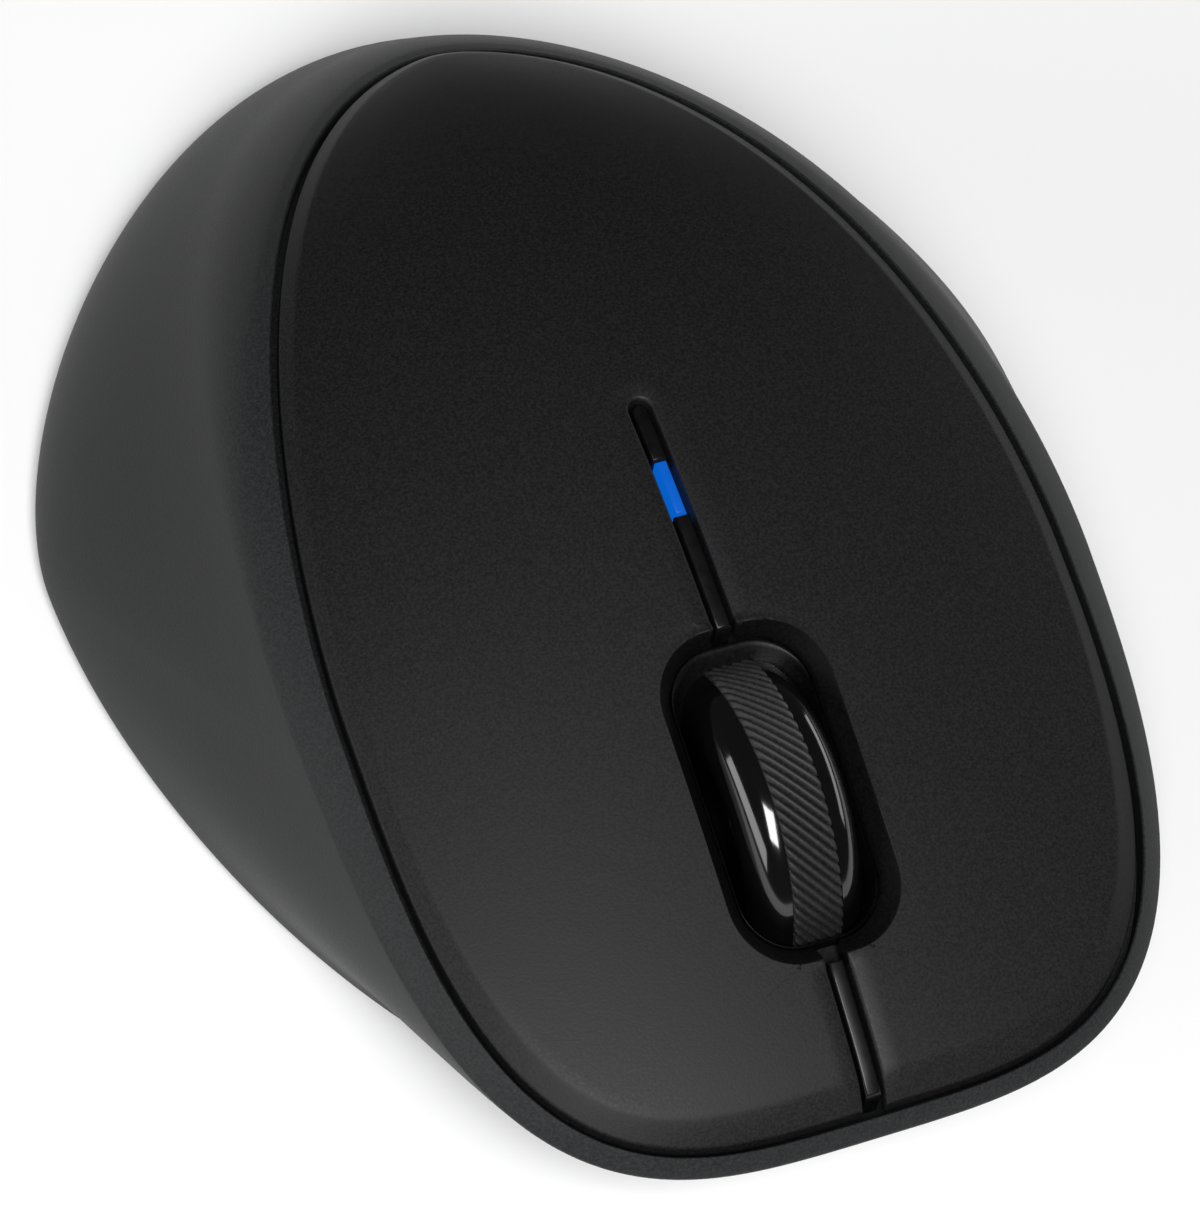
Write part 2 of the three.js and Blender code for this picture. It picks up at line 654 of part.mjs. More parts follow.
function caseScrew(x, y) {
  const head = post(x, y, 2.0, BASE_BOTTOM + 0.2, BASE_BOTTOM + 0.75, 16);
  const shank = post(x, y, 0.6, BASE_BOTTOM + 0.5, 8.4, 10);
  return geometryOf(join(head, shank));
}

function boardScrew(side) {
  const x = side * BOARD_SCREW.x;
  const head = post(x, BOARD_SCREW.y, 1.8, BOARD.top + GAP, BOARD.top + 1.2, 16);
  const shank = post(x, BOARD_SCREW.y, 0.6, BASE_TOP + 0.6, BOARD.top + 0.6, 10);
  return geometryOf(join(head, shank));
}

function powerSlider() {
  const { x, y } = SIDE_CONTROL;
  const knob = boxAbout(-x, y - 1.9, 1.4, 1.3, 0.7, BASE_TOP + GAP);
  const flange = boxAbout(-x, y - 1.9, 2.4, 2.1, BASE_TOP + GAP, BASE_TOP + 0.9);
  return geometryOf(join(knob, flange));
}

function powerSwitchBody() {
  return boxAbout(-SIDE_CONTROL.x, SIDE_CONTROL.y, 2.6, 3.9, BOARD.bottom - 1.4, BOARD.bottom - GAP);
}

function connectButton() {
  return geometryOf(join(
    post(SIDE_CONTROL.x, SIDE_CONTROL.y, 2.0, 0.8, BASE_TOP + 0.5),
    post(SIDE_CONTROL.x, SIDE_CONTROL.y, 2.8, BASE_TOP + 0.3, BASE_TOP + 0.7),
  ));
}

function connectSwitch() {
  return boxAbout(SIDE_CONTROL.x, SIDE_CONTROL.y, 2, 2, BOARD.bottom - GAP - 1, BOARD.bottom - GAP);
}

function glide(x, y, halfX, halfY, turn) {
  const geometry = prism(roundedRectangle(0, 0, halfX, halfY, halfY * 0.9), 0, BASE_BOTTOM - GAP);
  geometry.rotateZ(turn);
  geometry.translate(x, y, 0);
  return geometry;
}

// ---- the assembly ------------------------------------------------------------------

const FINISHES = {
  soft_black: { color: 0x232426, roughness: 0.55, metalness: 0.0 },
  housing_black: { color: 0x2c2d2f, roughness: 0.6, metalness: 0.0 },
  gloss_black: { color: 0x0a0a0b, roughness: 0.12, metalness: 0.0 },
  rubber: { color: 0x1d1d1e, roughness: 0.85, metalness: 0.0 },
  blue_light: { color: 0x0a55e6, roughness: 0.3, metalness: 0.0 },
  base_black: { color: 0x1a1a1b, roughness: 0.65, metalness: 0.0 },
  inner_plastic: { color: 0x3a3b3d, roughness: 0.6, metalness: 0.0 },
  steel: { color: 0xb9bcc0, roughness: 0.3, metalness: 1.0 },
  board_green: { color: 0x1d5a36, roughness: 0.5, metalness: 0.0 },
  chip_black: { color: 0x151515, roughness: 0.4, metalness: 0.0 },
  cell_wrap: { color: 0x7c8085, roughness: 0.35, metalness: 0.2 },
  clear_lens: { color: 0x9a1f1f, roughness: 0.1, metalness: 0.0 },
  glide_grey: { color: 0x55575a, roughness: 0.4, metalness: 0.0 },
};

const mouse = new THREE.Group();

function add(name, finish, geometry) {
  const mesh = new THREE.Mesh(geometry, new THREE.MeshStandardMaterial(FINISHES[finish]));
  mesh.name = name;
  mouse.add(mesh);
}

add('body_shell', 'housing_black', bodyShell());
add('base_plate', 'base_black', basePlate());
add('palm_cover', 'soft_black', palmCover());
add('left_button', 'soft_black', button(-1));
add('right_button', 'soft_black', button(1));
add('rear_slot_strip', 'gloss_black', rearSlotStrip());
add('front_slot_strip', 'gloss_black', frontSlotStrip());
add('light_pipe', 'blue_light', lightPipe());
add('wheel_bezel', 'gloss_black', wheelBezel());

add('wheel_hub', 'gloss_black', wheelHub());
add('wheel_tyre', 'rubber', wheelTyre());
add('wheel_axle', 'steel', wheelAxle());
add('wheel_carrier', 'inner_plastic', wheelCarrier());
add('scroll_encoder', 'chip_black', scrollEncoder());

for (const [side, word] of [[-1, 'left'], [1, 'right']]) {
  add(`${word}_switch`, 'chip_black', buttonSwitch(side));
  add(`${word}_switch_plunger`, 'clear_lens', buttonPlunger(side));
}
add('middle_switch', 'chip_black', middleSwitch());
add('middle_switch_plunger', 'clear_lens', middlePlunger());

add('circuit_board', 'board_green', circuitBoard());
add('sensor_chip', 'chip_black', box(-4.5, 4.5, -17.2, -12.9, BOARD.top + GAP, BOARD.top + 1.6));
add('sensor_window', 'clear_lens', sensorWindow());
add('radio_module', 'steel', box(-21.8, -14.2, -11.4, -3.6, BOARD.top + GAP, BOARD.top + 2.2));
const trayTop = TRAY.roof + TRAY.wall;
add('led_board', 'board_green', boxAbout(0, -7.0, 3.0, 3.4, trayTop + GAP, trayTop + 1.1));
add('status_led', 'blue_light', boxAbout(0, -7.0, 1.2, 1.0, trayTop + 1.4, trayTop + 2.6));

add('battery_tray', 'inner_plastic', batteryTray());
add('battery_left', 'cell_wrap', batteryCell(-CELL.x, CELL_LEFT_FRONT, true));
add('battery_right', 'cell_wrap', batteryCell(CELL.x, CELL_RIGHT_FRONT, false));
const springFront = TRAY.front + TRAY.wall + 0.4;
const rightCellRear = CELL_RIGHT_FRONT + CELL.length;
add('contact_spring_left', 'steel', contactSpring(-CELL.x, springFront, CELL_LEFT_FRONT - 0.6));
add('contact_spring_right', 'steel', contactSpring(CELL.x, rightCellRear + 3.0, rightCellRear + 0.6));
add('contact_front', 'steel', box(4.4, 8.0, -10.6, -10.3, 5.0, 11.6));
add('contact_bridge', 'steel', box(-9.5, 9.8, 37.95, 38.2, 4.4, 12.0));
add('battery_door', 'base_black', batteryDoor());

for (const [i, [x, y]] of CASE_SCREWS.entries()) {
  const place = `${i < 2 ? 'front' : 'rear'}_${x < 0 ? 'left' : 'right'}`;
  add(`case_screw_${place}`, 'steel', caseScrew(x, y));
}
add('board_screw_left', 'steel', boardScrew(-1));
add('board_screw_right', 'steel', boardScrew(1));

add('power_switch_body', 'chip_black', powerSwitchBody());
add('power_switch_slider', 'glide_grey', powerSlider());
add('connect_switch', 'chip_black', connectSwitch());
add('connect_button', 'glide_grey', connectButton());

add('glide_front', 'glide_grey', glide(0, -36.2, 9, 2.2, 0));
add('glide_rear_left', 'glide_grey', glide(-21, 28, 6.5, 2.4, 2.2));
add('glide_rear_right', 'glide_grey', glide(21, 28, 6.5, 2.4, Math.PI - 2.2));

export default mouse;
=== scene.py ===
"""Cordless computer mouse: the looks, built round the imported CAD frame.

The buttons and the wheel are at -Y, the palm rest is at +Y, and the origin is on the desk
under the middle of the mouse. Shapes are worked out in millimetres and placed in metres.
"""

import logging
import math
from dataclasses import dataclass, field
from enum import Enum
from typing import Callable, Optional, Sequence

import bmesh
import bpy
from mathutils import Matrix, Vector


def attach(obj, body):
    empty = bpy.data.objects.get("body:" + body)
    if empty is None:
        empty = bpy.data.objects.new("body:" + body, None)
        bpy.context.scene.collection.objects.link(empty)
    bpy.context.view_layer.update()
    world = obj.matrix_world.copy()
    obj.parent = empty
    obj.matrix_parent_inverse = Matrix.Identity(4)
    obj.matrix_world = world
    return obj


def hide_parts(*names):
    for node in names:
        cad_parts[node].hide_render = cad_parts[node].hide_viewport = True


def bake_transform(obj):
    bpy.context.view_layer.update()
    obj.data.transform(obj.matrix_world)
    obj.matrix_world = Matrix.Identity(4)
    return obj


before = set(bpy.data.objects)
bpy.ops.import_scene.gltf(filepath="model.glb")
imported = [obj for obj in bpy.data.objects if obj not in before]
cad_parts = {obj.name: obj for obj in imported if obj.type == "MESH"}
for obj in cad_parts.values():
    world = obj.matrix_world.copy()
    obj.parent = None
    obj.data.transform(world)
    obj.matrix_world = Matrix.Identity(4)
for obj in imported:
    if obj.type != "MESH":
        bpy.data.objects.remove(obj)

MM = 0.001
SEARCH_STEPS = 16
LOG = logging.getLogger("mouse")

Row = list[Vector]


# ---- curves of the body ------------------------------------------------------------


def lerp(a: float, b: float, t: float) -> float:
    """Returns the number a share t of the way from a to b."""
    return a + (b - a) * t


def clamp(value: float, low: float = 0.0, high: float = 1.0) -> float:
    """Returns the value, kept between low and high."""
    return max(low, min(high, value))


def smooth(t: float) -> float:
    """Returns an eased share: level at 0 and at 1."""
    t = clamp(t)
    return t * t * (3 - 2 * t)


def furthest(high: float, holds: Callable[[float], bool]) -> float:
    """Finds by halving how far from 0 a test still holds.

    Args:
        high: the furthest value to look at.
        holds: the test, true at 0 and false from some value on.

    Returns:
        The greatest value at which the test was found to hold.
    """
    low = 0.0
    for _ in range(SEARCH_STEPS):
        middle = (low + high) / 2
        low, high = (middle, high) if holds(middle) else (low, middle)
    return low


def bezier(t: float, points: Sequence) -> object:
    """Works out a point on a Bezier curve.

    Args:
        t: share of the way along the curve.
        points: any number of control values, numbers or vectors.

    Returns:
        The number or vector there.
    """
    level = list(points)
    while len(level) > 1:
        level = [a * (1 - t) + b * t for a, b in zip(level, level[1:])]
    return level[0]


@dataclass(frozen=True)
class Egg:
    """A superellipse outline with its own fullness before and behind its widest line, in mm."""

    front: float
    rear: float
    widest: float
    half_width: float
    front_tip: float
    front_side: float
    rear_tip: float
    rear_side: float

    def powers(self, behind: bool) -> tuple[float, float, float]:
        """Returns (side power, tip power, reach) of the half that is asked for."""
        if behind:
            return self.rear_side, self.rear_tip, self.rear - self.widest
        return self.front_side, self.front_tip, self.front - self.widest

    def point(self, angle: float) -> Vector:
        """Returns the outline's point at an angle, 0 at +X and a quarter turn at the rear."""
        across, along = math.cos(angle), math.sin(angle)
        side, tip, reach = self.powers(along >= 0)
        x = self.half_width * math.copysign(abs(across) ** (2 / side), across)
        return Vector((x, self.widest + reach * abs(along) ** (2 / tip)))

    def normal(self, angle: float) -> Vector:
        """Returns the outline's outward unit normal at an angle."""
        across, along = math.cos(angle), math.sin(angle)
        side, tip, reach = self.powers(along >= 0)
        slope_x = side * abs(across) ** (2 - 2 / side) / self.half_width
        slope_y = tip * abs(along) ** (2 - 2 / tip) / abs(reach)
        return Vector((math.copysign(slope_x, across), math.copysign(slope_y, along))).normalized()

    def half_width_at(self, y: float) -> float:
        """Returns the outline's half width at a place along the mouse."""
        side, tip, reach = self.powers(y >= self.widest)
        share = min(1.0, abs(y - self.widest) / abs(reach))
        along = share ** (tip / 2)
        return self.half_width * math.sqrt(max(0.0, 1 - along * along)) ** (2 / side)

    def angle_at_x(self, x: float) -> float:
        """Returns the angle of the outline's point on its front edge at a distance from the middle."""
        side, _, _ = self.powers(False)
        return -math.acos(clamp((abs(x) / self.half_width) ** (side / 2)))


@dataclass(frozen=True)
class Foot:
    """The outline on the desk: one cubic curve in each quarter, level at the tip and side, in mm."""

    front: float = -43.1
    rear: float = 51.1
    widest: float = 12.3
    half_width: float = 37.0
    front_tip: float = 0.592
    front_side: float = 0.419
    rear_tip: float = 0.515
    rear_side: float = 0.33

    def point(self, angle: float) -> Vector:
        """Returns the outline's point at an angle."""
        across, along = math.cos(angle), math.sin(angle)
        behind = along >= 0
        reach = (self.rear if behind else self.front) - self.widest
        tip = self.rear_tip if behind else self.front_tip
        side = self.rear_side if behind else self.front_side
        t = math.atan2(abs(along), abs(across)) / (math.pi / 2)
        x = math.copysign(self.half_width * bezier(t, (1, 1, tip, 0)), across)
        return Vector((x, self.widest + reach * bezier(t, (0, side, 1, 1))))

    def normal(self, angle: float) -> Vector:
        """Returns the outline's outward unit normal, from two points close to the angle."""
        step = 0.01
        along = self.point(angle + step) - self.point(angle - step)
        return Vector((along.y, -along.x)).normalized()


@dataclass(frozen=True)
class BodyForm:
    """The curves that the housing and the top plate share, in mm."""

    seam: Egg = Egg(-49.8, 37.6, -15.7, 26.7, 2.94, 3.62, 1.79, 1.81)
    foot: Foot = Foot()
    seam_heights: tuple[float, ...] = (14.9, 22.9, 32.5, 20.1)
    crown: float = 4.0
    rim_width: tuple[float, ...] = (1.3, 3.4, 4.5)
    rim_drop: tuple[float, ...] = (1.9, 3.0, 3.9)
    base_bottom: float = 1.0
    base_top: float = 2.6
    wall: float = 2.1
    groove: float = 0.5
    plate_thickness: float = 1.8
    shoulder: tuple[float, float] = (0.33, 0.65)
    waist: tuple[float, float] = (0.95, 0.29)
    inner_drop: float = 0.75
    fine_steps: int = 60

    def share(self, y: float) -> float:
        """Returns 0 at the plate's front edge and 1 at its rear edge."""
        return clamp((y - self.seam.front) / (self.seam.rear - self.seam.front))

    def plate_height(self, x: float, y: float) -> float:
        """Returns the height of the plate's top surface."""
        share = self.share(y)
        crown = self.crown * math.sqrt(max(0.0, 1 - (2 * share - 1) ** 2))
        across = min(1.0, abs(x) / max(self.seam.half_width_at(y), 0.01))
        return bezier(share, self.seam_heights) + crown * (1 - across * across)

    def seam_point(self, angle: float, outset: float, drop: float) -> Vector:
        """Returns a point beside the seam: outset from it, and below it by drop."""
        place = self.seam.point(angle)
        height = bezier(self.share(place.y), self.seam_heights)
        place = place + self.seam.normal(angle) * outset
        return Vector((place.x, place.y, height - drop))

    def rim_point(self, angle: float, outset: float = 0.0, drop: float = 0.0) -> Vector:
        """Returns a point at the rim's outer edge, where the flank begins."""
        share = self.share(self.seam.point(angle).y)
        width, fall = bezier(share, self.rim_width), bezier(share, self.rim_drop)
        return self.seam_point(angle, width + outset, fall + drop)

    def foot_point(self, angle: float, inset: float, z: float) -> Vector:
        """Returns a point of the outline on the desk, inset from it, at a height."""
        place = self.foot.point(angle) - self.foot.normal(angle) * inset
        return Vector((place.x, place.y, z))

    def flank_point(self, angle: float, t: float, inset: float = 0.0) -> Vector:
        """Works out a point on the flank.

        Args:
            angle: where round the outline.
            t: 0 at the rim and 1 at the foot.
            inset: how far inside the outer surface, in mm.

        Returns:
            The point, in mm.
        """
        rim = self.rim_point(angle, -inset, inset * self.inner_drop)
        foot = self.foot_point(angle, inset, self.base_bottom)
        pulls = []
        for outward, upward in (self.shoulder, self.waist):
            pull = rim.lerp(foot, outward)
            pull.z = lerp(foot.z, rim.z, upward)
            pulls.append(pull)
        return bezier(t, (rim, *pulls, foot))

    def even_angles(self, count: int) -> list[float]:
        """Spaces points evenly along the seam.

        Args:
            count: number of points round the whole outline, a multiple of four.

        Returns:
            The points' angles, in order.
        """
        fine = count * self.fine_steps
        angles = [i / fine * math.tau for i in range(fine + 1)]
        spots = [self.seam.point(angle) for angle in angles]
        run = [0.0]
        for a, b in zip(spots, spots[1:]):
            run.append(run[-1] + (b - a).length)
        found, j = [], 0
        for i in range(count):
            target = run[-1] * i / count
            while run[j + 1] < target:
                j += 1
            part = (target - run[j]) / (run[j + 1] - run[j])
            found.append(lerp(angles[j], angles[j + 1], part))
        return found


FORM = BodyForm()


# ---- modelling ---------------------------------------------------------------------


def pick(*pieces: bpy.types.Object) -> None:
    """Selects only these pieces, which may be none, and makes the last one active."""
    bpy.ops.object.select_all(action="DESELECT")
    for piece in pieces:
        piece.select_set(True)
        bpy.context.view_layer.objects.active = piece


def new_piece(name: str) -> bpy.types.Object:
    """Names the primitive that was just added, and gives it back.

    Args:
        name: the piece's name in the scene.

    Returns:
        The active object, alone in the selection.
    """
    piece = bpy.context.object
    piece.name = name
    piece.data.name = name
    return piece


def in_edit_mode(piece: bpy.types.Object, *steps: Callable[[], object]) -> None:
    """Runs edit-mode operators on a whole piece, all of it selected before each one.

    Args:
        piece: the piece to shape.
        steps: calls that each run one operator.
    """
    pick(piece)
    bpy.ops.object.mode_set(mode="EDIT")
    for step in steps:
        bpy.ops.mesh.select_all(action="SELECT")
        step()
    bpy.ops.object.mode_set(mode="OBJECT")


def weld(piece: bpy.types.Object, distance: float = 0.002) -> None:
    """Merges points that coincide and turns every face outwards.

    Args:
        piece: the piece to close.
        distance: how near two points are when they count as one, in mm.
    """
    in_edit_mode(
        piece,
        lambda: bpy.ops.mesh.remove_doubles(threshold=distance * MM),
        lambda: bpy.ops.mesh.normals_make_consistent(inside=False),
    )


def smooth_shading(piece: bpy.types.Object, angle: float = 32.0) -> None:
    """Shades a piece smooth, with its edges sharper than an angle in degrees kept."""
    pick(piece)
    bpy.ops.object.shade_smooth_by_angle(angle=math.radians(angle))


def apply_modifiers(piece: bpy.types.Object) -> None:
    """Applies every modifier on a piece, in order."""
    bpy.context.view_layer.objects.active = piece
    for modifier in list(piece.modifiers):
        bpy.ops.object.modifier_apply(modifier=modifier.name)


def settle(piece: bpy.types.Object) -> None:
    """Moves a piece's place, turn and size into its mesh."""
    pick(piece)
    bpy.ops.object.transform_apply(location=True, rotation=True, scale=True)


def skin(name: str, rows: Sequence[Row], closed: bool = True, ringed: bool = True) -> bpy.types.Object:
    """Lays a grid over rows of points, in mm.

    Args:
        name: the piece's name.
        rows: rows of the same number of points each.
        closed: whether the last row joins the first one.
        ringed: whether each row's last point joins its first one.

    Returns:
        The piece, with its coinciding points merged.
    """
    table = [list(row) + ([row[0]] if ringed else []) for row in rows]
    if closed:
        table.append(table[0])
    columns = len(table[0])
    pick()
    bpy.ops.mesh.primitive_grid_add(x_subdivisions=columns - 1, y_subdivisions=len(table) - 1, size=1)
    piece = new_piece(name)
    flat = [value * MM for row in table for point in row for value in point]
    if len(piece.data.vertices) * 3 != len(flat):
        raise RuntimeError(f"{name}: the grid has {len(piece.data.vertices)} points")
    piece.data.vertices.foreach_set("co", flat)
    piece.data.update()
    weld(piece)
    return piece


def turned(name: str, profile: Sequence[tuple[float, float]], centre: Vector, steps: int) -> bpy.types.Object:
    """Spins a closed profile round a line along X.

    Args:
        name: the piece's name.
        profile: (distance along X, radius) pairs of the closed profile, in mm.
        centre: a point on the axis, in mm.
        steps: number of faces round the axis.

    Returns:
        The closed piece.
    """
    pick()
    bpy.ops.mesh.primitive_circle_add(vertices=len(profile), radius=1)
    piece = new_piece(name)
    flat = [v * MM for x, r in profile for v in (centre.x + x, centre.y, centre.z + r)]
    piece.data.vertices.foreach_set("co", flat)
    in_edit_mode(piece, lambda: bpy.ops.mesh.spin(
        steps=steps, angle=math.tau, center=tuple(centre * MM), axis=(1, 0, 0)))
    weld(piece)
    return piece


def cap_open_edges(piece: bpy.types.Object) -> None:
    """Closes each open loop of a piece with one flat face."""
    def fill() -> None:
        bpy.ops.mesh.select_all(action="DESELECT")
        bpy.ops.mesh.select_mode(type="EDGE")
        bpy.ops.mesh.select_non_manifold()
        bpy.ops.mesh.edge_face_add()

    in_edit_mode(piece, fill, lambda: bpy.ops.mesh.normals_make_consistent(inside=False))


def block(name: str, low: tuple[float, float, float], high: tuple[float, float, float]) -> bpy.types.Object:
    """Adds a box between two corners in mm, as the start of a piece.

    Args:
        name: the piece's name.
        low: the lowest corner.
        high: the highest corner.

    Returns:
        The box, with its place in its mesh.
    """
    middle = [(a + b) / 2 * MM for a, b in zip(low, high)]
    pick()
    bpy.ops.mesh.primitive_cube_add(size=1, location=middle)
    piece = new_piece(name)
    bpy.ops.transform.resize(value=[(b - a) * MM for a, b in zip(low, high)])
    settle(piece)
    return piece


def bevel_edges(
    piece: bpy.types.Object, wanted: Callable[[Vector, Vector], bool], width: float, steps: int,
) -> None:
    """Rounds the edges that a test picks out.

    Args:
        piece: the piece to round.
        wanted: tells from an edge's two ends, in mm, whether it is rounded.
        width: how far the rounding reaches from the edge, in mm.
        steps: faces across the rounding.
    """
    def run() -> None:
        bpy.ops.mesh.select_all(action="DESELECT")
        bpy.ops.mesh.select_mode(type="EDGE")
        shape = bmesh.from_edit_mesh(piece.data)
        for edge in shape.edges:
            a, b = (vertex.co / MM for vertex in edge.verts)
            edge.select_set(wanted(a, b))
        bmesh.update_edit_mesh(piece.data)
        bpy.ops.mesh.bevel(offset=width * MM, segments=steps, profile=0.5, affect="EDGES")

    in_edit_mode(piece, run)


def cut_with(piece: bpy.types.Object, tool: bpy.types.Object, operation: str) -> None:
    """Cuts a piece by another one, which is then gone.

    Args:
        piece: the piece that stays.
        tool: the piece that cuts.
        operation: DIFFERENCE, or INTERSECT to keep only what both hold.
    """
    cutter = piece.modifiers.new("cut", "BOOLEAN")
    cutter.operation = operation
    cutter.solver = "EXACT"
    cutter.object = tool
    apply_modifiers(piece)
    bpy.data.objects.remove(tool)


def join_to(piece: bpy.types.Object, others: Sequence[bpy.types.Object]) -> None:
    """Makes other pieces part of a piece."""
    pick(*others, piece)
    bpy.ops.object.join()


def follow_plate(piece: bpy.types.Object, stations: Sequence[float]) -> None:
    """Slices a straight bar across and lifts it onto the plate's middle line.

    Args:
        piece: a bar along Y whose heights are measured from the plate's top.
        stations: where it is sliced, in mm along Y.
    """
    in_edit_mode(piece, *(
        (lambda y=y: bpy.ops.mesh.bisect(plane_co=(0, y * MM, 0), plane_no=(0, 1, 0)))
        for y in stations
    ))
    for vertex in piece.data.vertices:
        vertex.co.z += FORM.plate_height(0, vertex.co.y / MM) * MM
    piece.data.update()


# ---- finishes ----------------------------------------------------------------------


def linear(colour: str) -> tuple[float, float, float, float]:
    """Returns an sRGB hex colour as linear red, green, blue and alpha."""
    parts = (int(colour[i:i + 2], 16) / 255 for i in (1, 3, 5))
    return (*(c / 12.92 if c <= 0.04045 else ((c + 0.055) / 1.055) ** 2.4 for c in parts), 1.0)


def add_node(
    tree: bpy.types.NodeTree, kind: str, inputs: Optional[dict] = None, **settings: object,
) -> bpy.types.Node:
    """Adds a node with its settings, and its sockets' values or links.

    Args:
        tree: the material's node tree.
        kind: the node's type, without its ShaderNode prefix.
        inputs: socket name or number to a value, or to the output that feeds it.
        settings: the node's own properties.

    Returns:
        The new node.
    """
    node = tree.nodes.new(f"ShaderNode{kind}")
    for name, value in settings.items():
        setattr(node, name, value)
    for socket, value in (inputs or {}).items():
        if isinstance(value, bpy.types.NodeSocket):
            tree.links.new(value, node.inputs[socket])
        else:
            node.inputs[socket].default_value = value
    return node


def two_tone(
    tree: bpy.types.NodeTree, share: bpy.types.NodeSocket, low: str, high: str,
) -> bpy.types.NodeSocket:
    """Returns a mix of two sRGB hex colours, low where the share is 0 and high where it is 1."""
    inputs = {0: share, 6: linear(low), 7: linear(high)}
    return add_node(tree, "Mix", inputs, data_type="RGBA").outputs[2]


@dataclass(frozen=True)
class Finish:
    """A surface: its colour with a fine mottle, its gloss, and its grain. Sizes are in mm."""

    name: str
    colour: str
    roughness: float
    mottle: str
    mottle_size: float = 0.5
    grain_size: float = 0.3
    grain_depth: float = 0.01
    roughness_spread: float = 0.05
    metallic: float = 0.0
    ior: float = 1.5
    stretch: tuple[float, float, float] = (1.0, 1.0, 1.0)
    extra: dict = field(default_factory=dict, hash=False, compare=False)

    def material(self) -> bpy.types.Material:
        """Returns the finish's material, made once and then shared."""
        known = bpy.data.materials.get(self.name)
        if known:
            return known
        material = bpy.data.materials.new(self.name)
        material.use_nodes = True
        material.diffuse_color = linear(self.colour)
        tree = material.node_tree
        tree.nodes.clear()
        place = add_node(tree, "TexCoord").outputs["Object"]
        place = add_node(tree, "Mapping", {"Vector": place, "Scale": self.stretch}).outputs[0]
        shader = self.shader(tree, place)
        add_node(tree, "OutputMaterial", {"Surface": shader.outputs[0]})
        return material

    def noise(
        self, tree: bpy.types.NodeTree, place: bpy.types.NodeSocket, size: float, detail: float,
    ) -> bpy.types.NodeSocket:
        """Returns a noise pattern whose blotches are about size mm across."""
        return add_node(tree, "TexNoise", {
            "Vector": place, "Scale": 1 / (size * MM), "Detail": detail, "Roughness": 0.55,
        }).outputs["Fac"]

    def tint(self, tree: bpy.types.NodeTree, place: bpy.types.NodeSocket) -> bpy.types.NodeSocket:
        """Returns the colour: the base colour with the mottle's colour scattered in it."""
        spots = add_node(tree, "MapRange", {
            0: self.noise(tree, place, self.mottle_size, 3.0), 1: 0.38, 2: 0.66,
        }).outputs[0]
        return two_tone(tree, spots, self.colour, self.mottle)

    def relief(self, tree: bpy.types.NodeTree, place: bpy.types.NodeSocket) -> bpy.types.NodeSocket:
        """Returns the bumped normal of the grain."""
        grain = self.noise(tree, place, self.grain_size, 2.0)
        return add_node(tree, "Bump", {
            "Height": grain, "Strength": 1.0, "Distance": self.grain_depth * MM,
        }).outputs[0]

    def shader(self, tree: bpy.types.NodeTree, place: bpy.types.NodeSocket) -> bpy.types.Node:
        """Returns the finished shader node."""
        low, high = self.roughness - self.roughness_spread, self.roughness + self.roughness_spread
        wear = add_node(tree, "MapRange", {
            0: self.noise(tree, place, self.mottle_size, 2.0), 1: 0.3, 2: 0.7, 3: low, 4: high,
        }).outputs[0]
        return add_node(tree, "BsdfPrincipled", {
            "Base Color": self.tint(tree, place), "Roughness": wear, "Normal": self.relief(tree, place),
            "Metallic": self.metallic, "IOR": self.ior, **self.extra,
        })


class CircuitFinish(Finish):
    """A printed board: solder mask with the copper's fine straight runs showing through."""

    def tint(self, tree: bpy.types.NodeTree, place: bpy.types.NodeSocket) -> bpy.types.NodeSocket:
        """Returns the mask's colour, lighter over 0.3 mm copper runs 1.2 mm apart."""
        runs = add_node(tree, "TexBrick", {
            "Vector": place, "Color1": linear(self.colour), "Color2": linear(self.colour),
            "Mortar": linear(self.mottle), "Scale": 1 / (4.8 * MM), "Mortar Size": 0.06,
        })
        return runs.outputs["Color"]


class WrappedFinish(Finish):
    """Shrink-wrapped cells: plain film, with a darker band round their rear end."""

    def tint(self, tree: bpy.types.NodeTree, place: bpy.types.NodeSocket) -> bpy.types.NodeSocket:
        """Returns the film's colour, darker from a line across both cells 24 mm behind the middle."""
        along = add_node(tree, "SeparateXYZ", {0: place}).outputs["Y"]
        band = add_node(tree, "MapRange", {0: along, 1: 24 * MM, 2: 24.5 * MM}).outputs[0]
        return two_tone(tree, band, self.colour, self.mottle)


# Soft-touch paint on moulded ABS: almost no gloss, with a fine mottle 0.2 mm wide in it.
SOFT_TOUCH = Finish("soft_touch_painted_abs", "#0f0f10", 0.5, "#1b1b1c", mottle_size=0.2,
                    grain_size=0.2, grain_depth=0.008, ior=1.42, extra={"Specular IOR Level": 0.28})
# Window's sloping sides and the opening's walls: the plate's plastic painted dull near-black, as painted
# shade of the recess.
SLOPE_SHADE_ABS = Finish("slope_painted_shade_abs", "#040405", 0.6, "#09090a", mottle_size=0.25, grain_size=0.2,
                  grain_depth=0.01, extra={"Specular IOR Level": 0.12})
# Housing of spark-eroded ABS: an even grit about 0.2 mm wide that dulls and spreads the light.
GRAINED_ABS = Finish("spark_eroded_abs", "#151617", 0.54, "#242526", mottle_size=0.2,
                     grain_size=0.2, grain_depth=0.024, extra={"Specular IOR Level": 0.22})
# Piano-black polished ABS: sharp reflections, with the least ripple from moulding.
POLISHED_ABS = Finish("polished_black_abs", "#060607", 0.12, "#070708", mottle_size=3.0,
                      grain_size=2.5, grain_depth=0.004, roughness_spread=0.02,
                      extra={"Coat Weight": 0.4, "Coat Roughness": 0.04})
# Semi-gloss black ABS of the slot strips: a soft thin line along each edge.
SATIN_ABS = Finish("semi_gloss_black_abs", "#060607", 0.34, "#0a0a0b", mottle_size=1.0,
                   grain_size=0.8, grain_depth=0.002, roughness_spread=0.02,
                   extra={"Specular IOR Level": 0.3})
